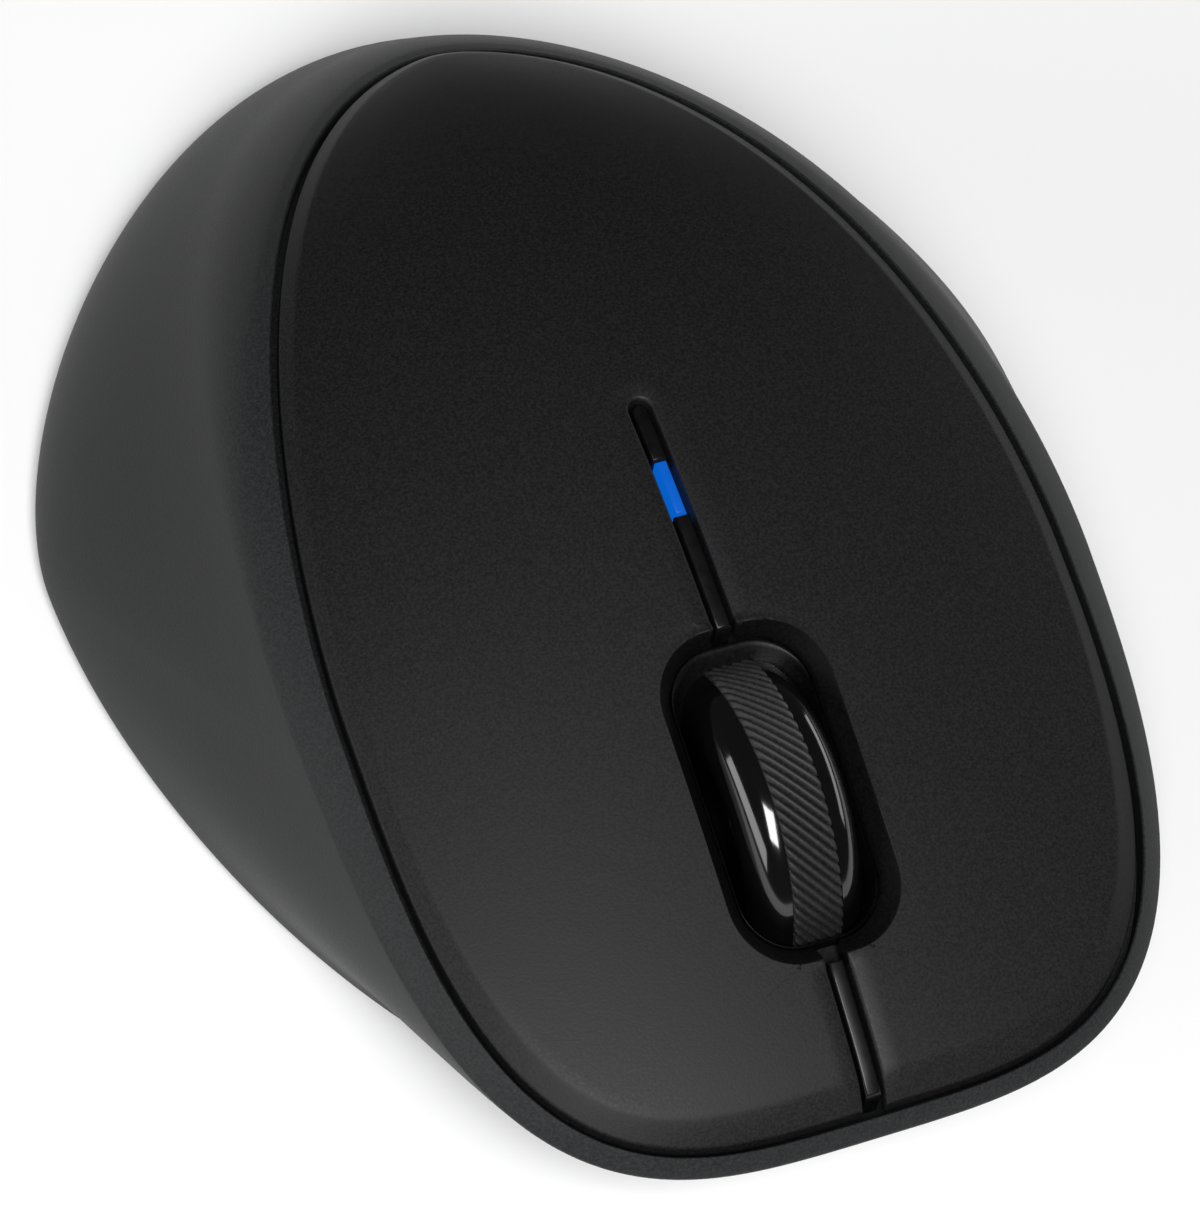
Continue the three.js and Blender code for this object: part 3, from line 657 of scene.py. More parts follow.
# Dull black ABS of the collar round the wheel: dark, with only a faint line along its lip.
DULL_ABS = Finish("dull_black_abs", "#040405", 0.4, "#080809", mottle_size=0.3, grain_size=0.25,
                  grain_depth=0.006, extra={"Specular IOR Level": 0.15})
# Moulded thermoplastic rubber: matte, with a faint lighter mottle.
TREAD_RUBBER = Finish("moulded_tread_rubber", "#101011", 0.6, "#202021", mottle_size=0.25,
                      grain_size=0.16, grain_depth=0.008, ior=1.48)
# Plain moulded ABS of the underside, a finer and glossier texture than the housing's.
BASE_ABS = Finish("moulded_base_abs", "#1a1a1c", 0.5, "#202022", grain_size=0.4, grain_depth=0.01)
# Glass-filled nylon of the inner parts: greyer, with short fibres just showing.
INNER_NYLON = Finish("glass_filled_nylon", "#333437", 0.55, "#3c3d40", mottle_size=0.35,
                     grain_size=0.3, grain_depth=0.01, stretch=(1.0, 0.25, 1.0))
# Nickel-plated spring steel: bright, with fine drawn lines along it.
PLATED_STEEL = Finish("nickel_plated_steel", "#b4b5b7", 0.28, "#a4a5a8", mottle_size=0.6,
                      grain_size=0.3, grain_depth=0.003, metallic=1.0, stretch=(1.0, 0.12, 1.0))
# Green solder mask on FR4: half gloss over copper runs.
SOLDER_MASK = CircuitFinish("fr4_green_solder_mask", "#0f4a2a", 0.32, "#1d6a3c", grain_size=0.5,
                            grain_depth=0.006)
# Epoxy mould compound of chips and switches: dull and slightly speckled.
MOULD_EPOXY = Finish("epoxy_mould_compound", "#151516", 0.5, "#1f1f20", mottle_size=0.25,
                     grain_size=0.2, grain_depth=0.006)
# Shrink film round the cells: smooth and half gloss.
CELL_FILM = WrappedFinish("cell_shrink_film", "#5d6165", 0.3, "#2c2f33", grain_size=1.5, grain_depth=0.004)
# Red-tinted polycarbonate of the sensor's lens and of the switch plungers.
TINTED_LENS = Finish("tinted_polycarbonate", "#5a1214", 0.12, "#641619", grain_size=1.0,
                     grain_depth=0.002, ior=1.585, extra={"Transmission Weight": 0.35})
# PTFE of the glides: waxy and slightly scuffed.
PTFE = Finish("skived_ptfe", "#3a3b3d", 0.42, "#434446", mottle_size=0.8, grain_size=0.5,
              grain_depth=0.006, ior=1.35, stretch=(1.0, 0.3, 1.0))
# Frosted acrylic light pipe, lit from below by a blue lamp: an even saturated glow.
LIT_ACRYLIC = Finish("frosted_acrylic_lit_blue", "#010a24", 0.4, "#020d2c", mottle_size=1.0,
                     grain_size=0.5, grain_depth=0.002, ior=1.49,
                     extra={"Emission Color": linear("#045fc9"), "Emission Strength": 0.95,
                            "Specular IOR Level": 0.2})

# The CAD nodes that are shown as they are, by finish.
NODES_BY_FINISH: tuple[tuple[Finish, str], ...] = (
    (BASE_ABS, "base_plate"),
    (INNER_NYLON, "wheel_carrier battery_tray"),
    (MOULD_EPOXY, "scroll_encoder left_switch right_switch middle_switch"),
    (MOULD_EPOXY, "sensor_chip power_switch_body connect_switch"),
    (TINTED_LENS, "left_switch_plunger right_switch_plunger middle_switch_plunger sensor_window"),
    (SOLDER_MASK, "circuit_board led_board"),
    (LIT_ACRYLIC, "status_led"),
    (CELL_FILM, "battery_left battery_right"),
    (PLATED_STEEL, "wheel_axle radio_module contact_front contact_bridge"),
    (PLATED_STEEL, "contact_spring_left contact_spring_right board_screw_left board_screw_right"),
    (PLATED_STEEL, "case_screw_front_left case_screw_front_right"),
    (PLATED_STEEL, "case_screw_rear_left case_screw_rear_right"),
    (PTFE, "power_switch_slider connect_button glide_front glide_rear_left glide_rear_right"),
)


class Body(Enum):
    """The CAD bodies that new pieces ride on."""

    HOUSING = "housing"
    LEFT_BUTTON = "left_button"
    RIGHT_BUTTON = "right_button"
    WHEEL = "wheel"
    BATTERY_DOOR = "battery_door"


class Side(Enum):
    """Left or right, as the sign of X."""

    LEFT = -1
    RIGHT = 1


def dress(piece: bpy.types.Object, *finishes: Finish) -> None:
    """Gives a piece its materials, in the order of its material slots."""
    piece.data.materials.clear()
    for finish in finishes:
        piece.data.materials.append(finish.material())


def dress_nodes() -> None:
    """Gives each CAD node that is shown as it is the material of its finish."""
    for finish, names in NODES_BY_FINISH:
        for name in names.split():
            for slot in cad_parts[name].material_slots:
                slot.material = finish.material()
        LOG.info("%s: %s", finish.name, names)


def fit(piece: bpy.types.Object, body: Body, slot: str, *nodes: str) -> None:
    """Fixes a finished piece to the frame.

    Args:
        piece: the finished piece.
        body: the CAD body that it rides on.
        slot: the record's material slot that it stands for; not used.
        nodes: the CAD nodes that it stands for.
    """
    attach(piece, body.value)
    if nodes:
        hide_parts(*nodes)
    LOG.info("%s: %d faces on %s", piece.name, len(piece.data.polygons), body.value)


# ---- housing -----------------------------------------------------------------------


@dataclass
class Housing:
    """The lower shell: groove wall, rim, flanks, bottom edge and inner wall. Sizes in mm."""

    rings: int = 320
    lip_radius: float = 0.16
    lip_drop: float = 0.5
    rim_bulge: tuple[float, float] = (0.12, 0.42)
    crease: tuple[float, float] = (0.28, 4.2)
    crease_start: float = 0.42
    crease_spread: float = 1.3
    band_part: tuple[float, float] = (0.25, 0.97)
    flank_part: tuple[float, float] = (0.008, 0.45)
    flank_sample: float = 0.2
    flank_end: float = 0.95
    steps: tuple[int, int, int] = (5, 6, 20)
    lip_steps: int = 3
    foot_radius: float = 0.9
    foot_rise: float = 0.1
    foot_steps: int = 5
    ledge_inset: float = 2.2
    ledge_gap: float = 0.4
    ledge_thickness: float = 1.4
    button_clearance: float = 0.9
    doorway_half_width: float = 13.88
    doorway_front: float = 40.0
    doorway_rear: float = 60.0
    doorway_top: float = 2.72

    def rim_band(self, angle: float) -> Callable[[float], Vector]:
        """Returns the curve across the rim, from the groove's lip at 0 to the crease at 1."""
        share = FORM.share(FORM.seam.point(angle).y)
        width, fall = bezier(share, FORM.rim_width), bezier(share, FORM.rim_drop)
        start = FORM.groove / 2 + self.lip_radius
        bulge = lerp(*self.rim_bulge, share)
        middle = ((start + width) / 2, (self.lip_drop + fall) / 2 - bulge)
        outs = (start, middle[0], width)
        drops = (self.lip_drop, middle[1], fall)
        return lambda t: FORM.seam_point(angle, bezier(t, outs), bezier(t, drops))

    def lip(self, angle: float) -> Row:
        """Returns the rounded edge between the groove's wall and the rim."""
        points = []
        for i in range(self.lip_steps + 1):
            turn = i / self.lip_steps * math.pi / 2
            outset = FORM.groove / 2 + self.lip_radius * (1 - math.cos(turn))
            drop = self.lip_drop + self.lip_radius * (1 - math.sin(turn))
            points.append(FORM.seam_point(angle, outset, drop))
        return points

    def outer_skin(self, angle: float) -> Row:
        """Returns the rim, the crease and the flank, down to the bottom edge."""
        share = FORM.share(FORM.seam.point(angle).y)
        softness = smooth((share - self.crease_start) / (1 - self.crease_start))
        reach = lerp(*self.crease, softness)
        band = self.rim_band(angle)
        corner = band(1.0)
        band_length = max((corner - band(0.0)).length, 0.01)
        turn_in = clamp(1 - reach / band_length, *self.band_part)
        flank_length = (FORM.flank_point(angle, self.flank_sample) - corner).length / self.flank_sample
        turn_out = clamp(reach * self.crease_spread / flank_length, *self.flank_part)
        across, over, down = self.steps
        points = [band(turn_in * i / across) for i in range(across + 1)]
        soft_corner = (points[-1], corner, FORM.flank_point(angle, turn_out))
        points += [bezier(i / over, soft_corner) for i in range(1, over + 1)]
        flank = [lerp(turn_out, self.flank_end, i / down) for i in range(1, down + 1)]
        return points + [FORM.flank_point(angle, t) for t in flank]

    def bottom_edge(self, angle: float) -> Row:
        """Returns the rounding under the flank."""
        bottom = FORM.base_bottom
        edge = (
            FORM.flank_point(angle, self.flank_end),
            FORM.foot_point(angle, 0.0, bottom + self.foot_rise),
            FORM.foot_point(angle, self.foot_radius, bottom),
        )
        return [bezier(i / self.foot_steps, edge) for i in range(1, self.foot_steps + 1)]

    def inner_skin(self, angle: float) -> Row:
        """Returns the step round the base, the inside wall and the ledge under the plate."""
        share = FORM.share(FORM.seam.point(angle).y)
        ledge = FORM.plate_thickness + self.ledge_gap + self.button_clearance * (1 - share)
        points = [FORM.foot_point(angle, FORM.wall, z) for z in (FORM.base_bottom, FORM.base_top)]
        points += [FORM.flank_point(angle, t, FORM.wall) for t in (0.8, 0.6, 0.4, 0.2, 0.0)]
        points.append(FORM.seam_point(angle, -self.ledge_inset, ledge + self.ledge_thickness))
        points.append(FORM.seam_point(angle, -self.ledge_inset, ledge))
        points.append(FORM.seam_point(angle, FORM.groove / 2, ledge))
        return points

    def section(self, angle: float) -> Row:
        """Returns one whole cut across the wall."""
        return self.lip(angle) + self.outer_skin(angle) + self.bottom_edge(angle) + self.inner_skin(angle)

    def cut_doorway(self, shell: bpy.types.Object) -> None:
        """Cuts the rear doorway that the battery door slides through."""
        half = self.doorway_half_width
        low, high = (-half, self.doorway_front, 0), (half, self.doorway_rear, self.doorway_top)
        cut_with(shell, block("doorway_tool", low, high), "DIFFERENCE")

    def build(self) -> None:
        """Builds the shell and fixes it to the frame."""
        shell = skin("housing_shell", [self.section(angle) for angle in FORM.even_angles(self.rings)])
        self.cut_doorway(shell)
        smooth_shading(shell, 38)
        dress(shell, GRAINED_ABS)
        fit(shell, Body.HOUSING, "housing_black", "body_shell")


@dataclass
class BatteryDoor:
    """The panel under the palm, whose rear end carries on the housing's bottom edge. Sizes in mm."""

    half_width: float = 13.74
    front: float = -11.6
    top: float = 2.62
    rings: int = 160
    corner: float = 0.15
    heel_start: float = 44.0
    level: float = 0.98
    flat_inset: float = 1.2
    flank_shares: tuple[float, ...] = (0.95, 0.9, 0.85, 0.8, 0.75)
    hooks: tuple[float, float] = (-1.0, 20.0)
    hook_half_length: float = 3.5
    hook_inset: float = 1.0
    hook_reach: float = 1.5
    hook_heights: tuple[float, float] = (2.82, 3.7)
    web_half: float = 0.4
    web_heights: tuple[float, float] = (2.35, 3.2)

    def outer_body(self) -> bpy.types.Object:
        """Builds the lowest slice of the housing's outer form, as one closed solid."""
        rows, housing, bottom = [], Housing(), FORM.base_bottom
        for angle in FORM.even_angles(self.rings):
            flat = FORM.foot_point(angle, self.flat_inset, bottom)
            edge = housing.bottom_edge(angle)[::-1]
            flank = [FORM.flank_point(angle, t) for t in self.flank_shares]
            low, high = (Vector((0, FORM.foot.widest, z)) for z in (bottom, flank[-1].z))
            rows.append([low, flat] + edge + flank + [high])
        return skin("battery_door_panel", rows, ringed=False)

    def hook(self, y: float, side: Side) -> bpy.types.Object:
        """Builds one hook.

        Args:
            y: the hook's middle along the door, in mm.
            side: which edge of the door it stands by.

        Returns:
            An upright web, with the foot that holds the door in the base.
        """
        length, web_x = self.hook_half_length, side.value * (self.half_width - self.hook_inset)
        inner, outer = sorted((web_x, side.value * (self.half_width + self.hook_reach)))
        (bottom, top), (web_bottom, web_top) = self.hook_heights, self.web_heights
        foot = block("hook_foot", (inner, y - length, bottom), (outer, y + length, top))
        bevel_edges(foot, lambda a, b: True, self.corner, 2)
        web = block("hook_web", (web_x - self.web_half, y - length, web_bottom),
                    (web_x + self.web_half, y + length, web_top))
        join_to(foot, [web])
        return foot

    def build(self) -> None:
        """Builds the door with its hooks and fixes it to the frame."""
        panel, half = self.outer_body(), self.half_width
        tool = block("door_tool", (-half, self.front, 0), (half, Housing().doorway_rear, self.top))
        bevel_edges(tool, lambda a, b: True, self.corner, 3)
        cut_with(panel, tool, "INTERSECT")
        join_to(panel, [self.hook(y, side) for y in self.hooks for side in Side])
        smooth_shading(panel, 38)
        dress(panel, BASE_ABS, GRAINED_ABS)
        for face in panel.data.polygons:
            at_heel = face.center.y / MM > self.heel_start
            face.material_index = int(at_heel and face.normal.z > -self.level)
        fit(panel, Body.BATTERY_DOOR, "base_black", "battery_door")


# ---- top plate ---------------------------------------------------------------------


@dataclass(frozen=True)
class Opening:
    """The slot and the wheel's window, one opening down the middle of the plate, in mm."""

    slot: float = 0.85
    slot_rear: float = -0.2
    front: float = -38.85
    rear: float = -17.95
    half_width: float = 5.2
    corner: float = 3.9
    top_front: float = -40.4
    top_rear: float = -17.75
    top_half_width: float = 6.25
    top_corner: float = 4.7
    depth: float = 1.5
    depth_ease: float = 0.03
    nick: float = 0.45
    softening: float = 1.1
    step: float = 0.04

    def outside(self, x: float, y: float, share: float) -> float:
        """Measures how far a place is outside the window's outline.

        Args:
            x: the place across, in mm.
            y: the place along, in mm.
            share: 0 for the outline at the top of the window's slope, 1 for the one at its foot.

        Returns:
            The distance in mm, negative inside the outline.
        """
        front, rear = lerp(self.top_front, self.front, share), lerp(self.top_rear, self.rear, share)
        corner = lerp(self.top_corner, self.corner, share)
        over_x = abs(x) - lerp(self.top_half_width, self.half_width, share) + corner
        over_y = abs(y - (front + rear) / 2) - (rear - front) / 2 + corner
        return math.hypot(max(over_x, 0), max(over_y, 0)) + min(max(over_x, over_y), 0) - corner

    def fall(self, x: float, y: float) -> float:
        """Returns how far the window's sloping side has fallen at a place."""
        if self.outside(x, y, 0) >= 0:
            return 0.0
        down = furthest(1.0, lambda share: self.outside(x, y, share) < 0)
        return self.depth * down * down * (1 + self.depth_ease) / (down + self.depth_ease)

    def trace(self, start_y: float) -> list[Vector]:
        """Traces the right half of the opening's edge.

        Args:
            start_y: where the slot leaves the plate's front edge.

        Returns:
            Finely spaced points, from the plate's front edge to the slot's rear end.
        """
        slot, nick, round_x = self.slot, self.nick, self.half_width - self.corner
        points = self.line((slot, start_y), (slot, self.front - nick))
        points += self.arc((slot + nick, self.front - nick), nick, 180, 90)
        points += self.arc((round_x, self.front + self.corner), self.corner, -90, 0)
        side = self.half_width
        points += self.line((side, self.front + self.corner), (side, self.rear - self.corner))
        points += self.arc((round_x, self.rear - self.corner), self.corner, 0, 90)
        points += self.arc((slot + nick, self.rear + nick), nick, -90, -180)
        points += self.line((slot, self.rear + nick), (slot, self.slot_rear - slot))
        points += self.arc((0, self.slot_rear - slot), slot, 0, 90)
        return points

    def line(self, a: tuple[float, float], b: tuple[float, float]) -> list[Vector]:
        """Returns points from a to b, with b left out."""
        a, b = Vector(a), Vector(b)
        count = max(1, round((b - a).length / self.step))
        return [a.lerp(b, i / count) for i in range(count)]

    def arc(self, centre: tuple[float, float], radius: float, start: float, end: float) -> list[Vector]:
        """Returns points along an arc between two angles in degrees, its last one included."""
        count = max(2, round(math.radians(abs(end - start)) * radius / self.step))
        turns = [math.radians(lerp(start, end, i / count)) for i in range(count + 1)]
        return [Vector(centre) + radius * Vector((math.cos(turn), math.sin(turn))) for turn in turns]


class OpeningEdge:
    """The opening's edge as a run in mm, with a softened direction away from the opening."""

    def __init__(self, opening: Opening, start_y: float) -> None:
        """Traces the edge and softens its normals.

        Args:
            opening: the opening's sizes.
            start_y: where the slot leaves the plate's front edge.
        """
        self.opening = opening
        points = [opening.trace(start_y)[0]]
        for point in opening.trace(start_y):
            if (point - points[-1]).length > opening.step * 0.3:
                points.append(point)
        self.points = points
        self.run = [0.0]
        for a, b in zip(points, points[1:]):
            self.run.append(self.run[-1] + (b - a).length)
        self.length = self.run[-1]
        self.normals = self.softened()

    def softened(self) -> list[Vector]:
        """Averages the normals along the edge, so that the lines offset from it never cross.

        Returns:
            One unit normal for each point of the edge.
        """
        raw, widths, stride = [], 3, 3
        for i in range(len(self.points) - 1):
            along = (self.points[i + 1] - self.points[i]).normalized()
            raw.append(Vector((along.y, -along.x)))
        reach = round(widths * self.opening.softening / self.opening.step)
        padded = [Vector((1, 0))] * reach + raw + [Vector((-n.x, n.y)) for n in reversed(raw[-reach:])]
        weights = [math.exp(-((k - reach) / reach * widths) ** 2 / 2) for k in range(2 * reach + 1)]
        normals = []
        for i in range(len(raw)):
            total = Vector((0, 0))
            for weight, normal in zip(weights[::stride], padded[i:i + 2 * reach + 1:stride]):
                total += weight * normal
            normals.append(total.normalized())
        return normals + [Vector((0, 1))]

    def at(self, run: float, offset: float) -> Vector:
        """Returns the point at a run along the edge, offset away from the opening."""
        run = clamp(run, 0, self.length)
        low, high = 0, len(self.run) - 1
        while high - low > 1:
            middle = (low + high) // 2
            low, high = (middle, high) if self.run[middle] <= run else (low, middle)
        part = clamp((run - self.run[low]) / max(self.run[high] - self.run[low], 1e-9))
        place = self.points[low].lerp(self.points[high], part)
        return place + self.normals[low].lerp(self.normals[high], part).normalized() * offset

    def slope_width(self, run: float) -> float:
        """Returns how far the window's sloping side reaches from the edge, seen from above."""
        def sloped(offset: float) -> bool:
            place = self.at(run, offset)
            return self.opening.outside(place.x, place.y, 0) < 0

        return furthest(3.0, sloped) if sloped(0) else 0.0

    def run_near(self, x: float, y: float) -> float:
        """Returns the run of the edge's point nearest to a place."""
        target = Vector((x, y))
        nearest = min(range(len(self.points)), key=lambda i: (self.points[i] - target).length_squared)
        return self.run[nearest]


@dataclass(frozen=True)
class Station:
    """A place where a line across the plate is pinned at both ends. Sizes in mm."""

    edge: tuple[float, float]
    seam_angle: float
    columns_after: int


@dataclass
class TopPlate:
    """The egg-shaped top plate, in two mirrored halves, in mm."""

    opening: Opening = Opening()
    reach: float = 1.7
    roll_depth: float = 0.2
    roll_width: float = 1.5
    edge_radius: float = 0.22
    bevel_width: tuple[float, float] = (1.65, 1.1)
    bevel_drop: tuple[float, float] = (0.62, 0.42)
    bevel_narrows: tuple[float, float] = (-40.0, -20.0)
    bevel_ease: float = 0.12
    window_margin: float = 0.8
    window_edge_share: float = 0.4
    outer_radius: float = 0.12
    offsets: tuple[float, ...] = (
        0.0, 0.03, 0.07, 0.12, 0.18, 0.26, 0.36, 0.5, 0.66, 0.82, 0.96, 1.08, 1.2, 1.34, 1.5, 1.7)
    slope_shares: tuple[float, ...] = (0.0, 0.2, 0.4, 0.6, 0.76, 0.88, 0.96)
    flat_beyond_slope: float = 0.4
    full_slope_width: float = 0.5
    middle_rows: int = 18
    under_rows: int = 5
    mouth_end: tuple[float, float] = (7.0, -43.4)
    mouth_columns: int = 14
    mouth_rear: float = -43.0
    hinge_start: float = 8.0
    hinge_middle: float = 3.0
    hinge_end: float = -2.0

    def edge_fall(self, distance: float, radius: float) -> float:
        """Returns how far a rounded edge has fallen at a distance from it."""
        if distance >= radius:
            return 0.0
        return radius - math.sqrt(radius * radius - (radius - distance) ** 2)

    def height(self, place: Vector, inner: float, outer: float) -> float:
        """Works out the top surface's height.

        Args:
            place: where on the plate.
            inner: distance from the opening's edge.
            outer: distance from the plate's outer edge.

        Returns:
            The height in mm.
        """
        past_window = smooth(self.opening.outside(place.x, place.y, 0) / self.window_margin)
        roll = self.roll_depth * clamp(1 - inner / self.roll_width) ** 2 * past_window
        front, rear = self.bevel_narrows
        along = smooth((place.y - front) / (rear - front))
        slope = clamp(1 - outer / lerp(*self.bevel_width, along))
        softened = slope * slope / (slope + self.bevel_ease) * (1 + self.bevel_ease)
        drop = roll + self.edge_fall(inner, self.edge_radius) * lerp(self.window_edge_share, 1, past_window)
        drop += self.opening.fall(place.x, place.y)
        drop += lerp(*self.bevel_drop, along) * softened + self.edge_fall(outer, self.outer_radius)
        return FORM.plate_height(place.x, place.y) - drop

    def stations(self) -> list[Station]:
        """Returns the pinned places, from beside the slot's mouth round to the slot's rear end."""
        slot, side, across = self.opening.slot, self.opening.half_width, FORM.seam.angle_at_x
        last_x, last_y = self.mouth_end
        return [
            Station((slot, last_y), across(last_x), 46),
            Station((4.1, -37.7), across(21.5), 22),
            Station((side, -35.0), across(25.6), 26),
            Station((side, -21.8), -0.001, 26),
            Station((2.2, -18.05), 0.012, 40),
            Station((slot, -14.0), 0.05, 16),
            Station((slot, -1.1), 0.26, 56),
            Station((0, self.opening.slot_rear), math.pi / 2, 0),
        ]

    def columns(self, edge: OpeningEdge) -> list[tuple[float, float]]:
        """Returns pairs of a run along the opening's edge and an angle on the seam."""
        stations = self.stations()
        runs = [edge.run_near(*station.edge) for station in stations[:-1]] + [edge.length]
        pairs = []
        for i, (a, b) in enumerate(zip(stations, stations[1:])):
            for share in (j / a.columns_after for j in range(a.columns_after)):
                pairs.append((lerp(runs[i], runs[i + 1], share), lerp(a.seam_angle, b.seam_angle, share)))
        return pairs + [(edge.length, math.pi / 2)]

    def beside_mouth(self, front: float) -> list[tuple[list[Vector], list[Vector]]]:
        """Lays out the columns beside the slot's mouth, which share the corner's mitre line.

        Args:
            front: where the plate's front edge is.

        Returns:
            For each column, its places beside the opening and its places beside the seam.
        """
        columns = []
        slot, (last_x, last_y) = self.opening.slot, self.mouth_end
        for i in range(self.mouth_columns):
            share = i / self.mouth_columns
            inner = [Vector((slot + d, lerp(front + d, last_y, share))) for d in self.offsets]
            outer = [point.copy() for point in inner]
            if i > 0:
                angles = (FORM.seam.angle_at_x(lerp(slot + d, last_x, share)) for d in self.offsets)
                outer = [self.beside_seam(angle, d) for angle, d in zip(angles, self.offsets)]
            columns.append((inner, outer))
        return columns

    def beside_seam(self, angle: float, distance: float) -> Vector:
        """Returns the place at a distance from the plate's outer edge."""
        return FORM.seam_point(angle, -FORM.groove / 2 - distance, 0).to_2d()

    def inner_offsets(self, width: float) -> list[float]:
        """Spreads the offsets from the opening's edge over the window's slope beside it.

        Args:
            width: how wide the slope is there, 0 beside the slot.

        Returns:
            As many offsets as there are beside the seam.
        """
        count = len(self.slope_shares)
        plain = self.offsets[:len(self.offsets) - count]
        beyond = max(self.reach, width + self.flat_beyond_slope) - width
        sloped = [width * share for share in self.slope_shares]
        sloped += [width + beyond * d / plain[-1] for d in plain]
        ease = smooth(width / self.full_slope_width)
        return [lerp(a, b, ease) for a, b in zip(self.offsets, sloped)]

    def column_points(self, inner: list[Vector], outer: list[Vector], front: float) -> Row:
        """Draws one closed line over the plate and back under it.

        Args:
            inner: places at each offset from the opening's edge.
            outer: places at each offset from the plate's edge.
            front: where the plate's front edge is.

        Returns:
            The line's points, in mm.
        """
        slot = self.opening.slot
        near_mouth = inner[0].y < self.mouth_rear
        top = []
        for place in inner:
            d = (place - inner[0]).length
            if near_mouth:
                d = place.x - slot
            edge_distance = place.y - front if near_mouth else self.reach
            top.append((place, d, edge_distance))
        for i in range(1, self.middle_rows):
            top.append((inner[-1].lerp(outer[-1], i / self.middle_rows), self.reach, self.reach))
        for place, d in zip(reversed(outer), reversed(self.offsets)):
            top.append((place, place.x - slot if near_mouth else self.reach, d))
        points = [Vector((p.x, p.y, self.height(p, a, b))) for p, a, b in top]
        thickness, count = FORM.plate_thickness, self.under_rows
        under = [outer[0], outer[-1]]
        under += [outer[-1].lerp(inner[-1], i / count) for i in range(1, count)] + [inner[-1], inner[0]]
        return points + [Vector((p.x, p.y, FORM.plate_height(p.x, p.y) - thickness)) for p in under]

    def half(self, side: Side) -> bpy.types.Object:
        """Builds one half of the plate."""
        front = FORM.seam.front + FORM.groove / 2
        edge = OpeningEdge(self.opening, front)
        columns = self.beside_mouth(front)
        for run, angle in self.columns(edge):
            inner = [edge.at(run, d) for d in self.inner_offsets(edge.slope_width(run))]
            columns.append((inner, [self.beside_seam(angle, d) for d in self.offsets]))
        rows = [self.column_points(inner, outer, front) for inner, outer in columns]
        for point in rows[-1]:
            point.x = 0.0
        for row in rows:
            for point in row:
                point.x *= side.value
        plate = skin(f"plate_{side.name.lower()}", rows, closed=False)
        cap_open_edges(plate)
        return plate

    def paint_slope_shade(self, plate: bpy.types.Object) -> None:
        """Gives the window's sloping sides and the walls of the opening the second material, a near-black
        painted shade.
        """
        margin, steep, beside = 0.01, 0.2, 0.5
        for face in plate.data.polygons:
            outside = self.opening.outside(face.center.x / MM, face.center.y / MM, 0)
            wall = abs(face.normal.z) < steep and outside < beside
            face.material_index = int(outside < -margin or wall)

    def build(self) -> None:
        """Builds both halves, shades and dresses them, and hides the CAD nodes that they stand for."""
        for side, body in ((Side.LEFT, Body.LEFT_BUTTON), (Side.RIGHT, Body.RIGHT_BUTTON)):
            plate = self.half(side)
            smooth_shading(plate, 40)
            # The second material paints shade on the window's slope and on the opening's walls.
            dress(plate, SOFT_TOUCH, SLOPE_SHADE_ABS)
            self.paint_slope_shade(plate)
            height = FORM.plate_height(0, self.hinge_middle) * MM
            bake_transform(plate)
            nodes = (body.value, "palm_cover") if side is Side.LEFT else (body.value,)
            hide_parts(*nodes)
            LOG.info("%s: %d faces, bends to %s", plate.name, len(plate.data.polygons), body.value)


# ---- slot strips and window collar ------------------------------------------------------


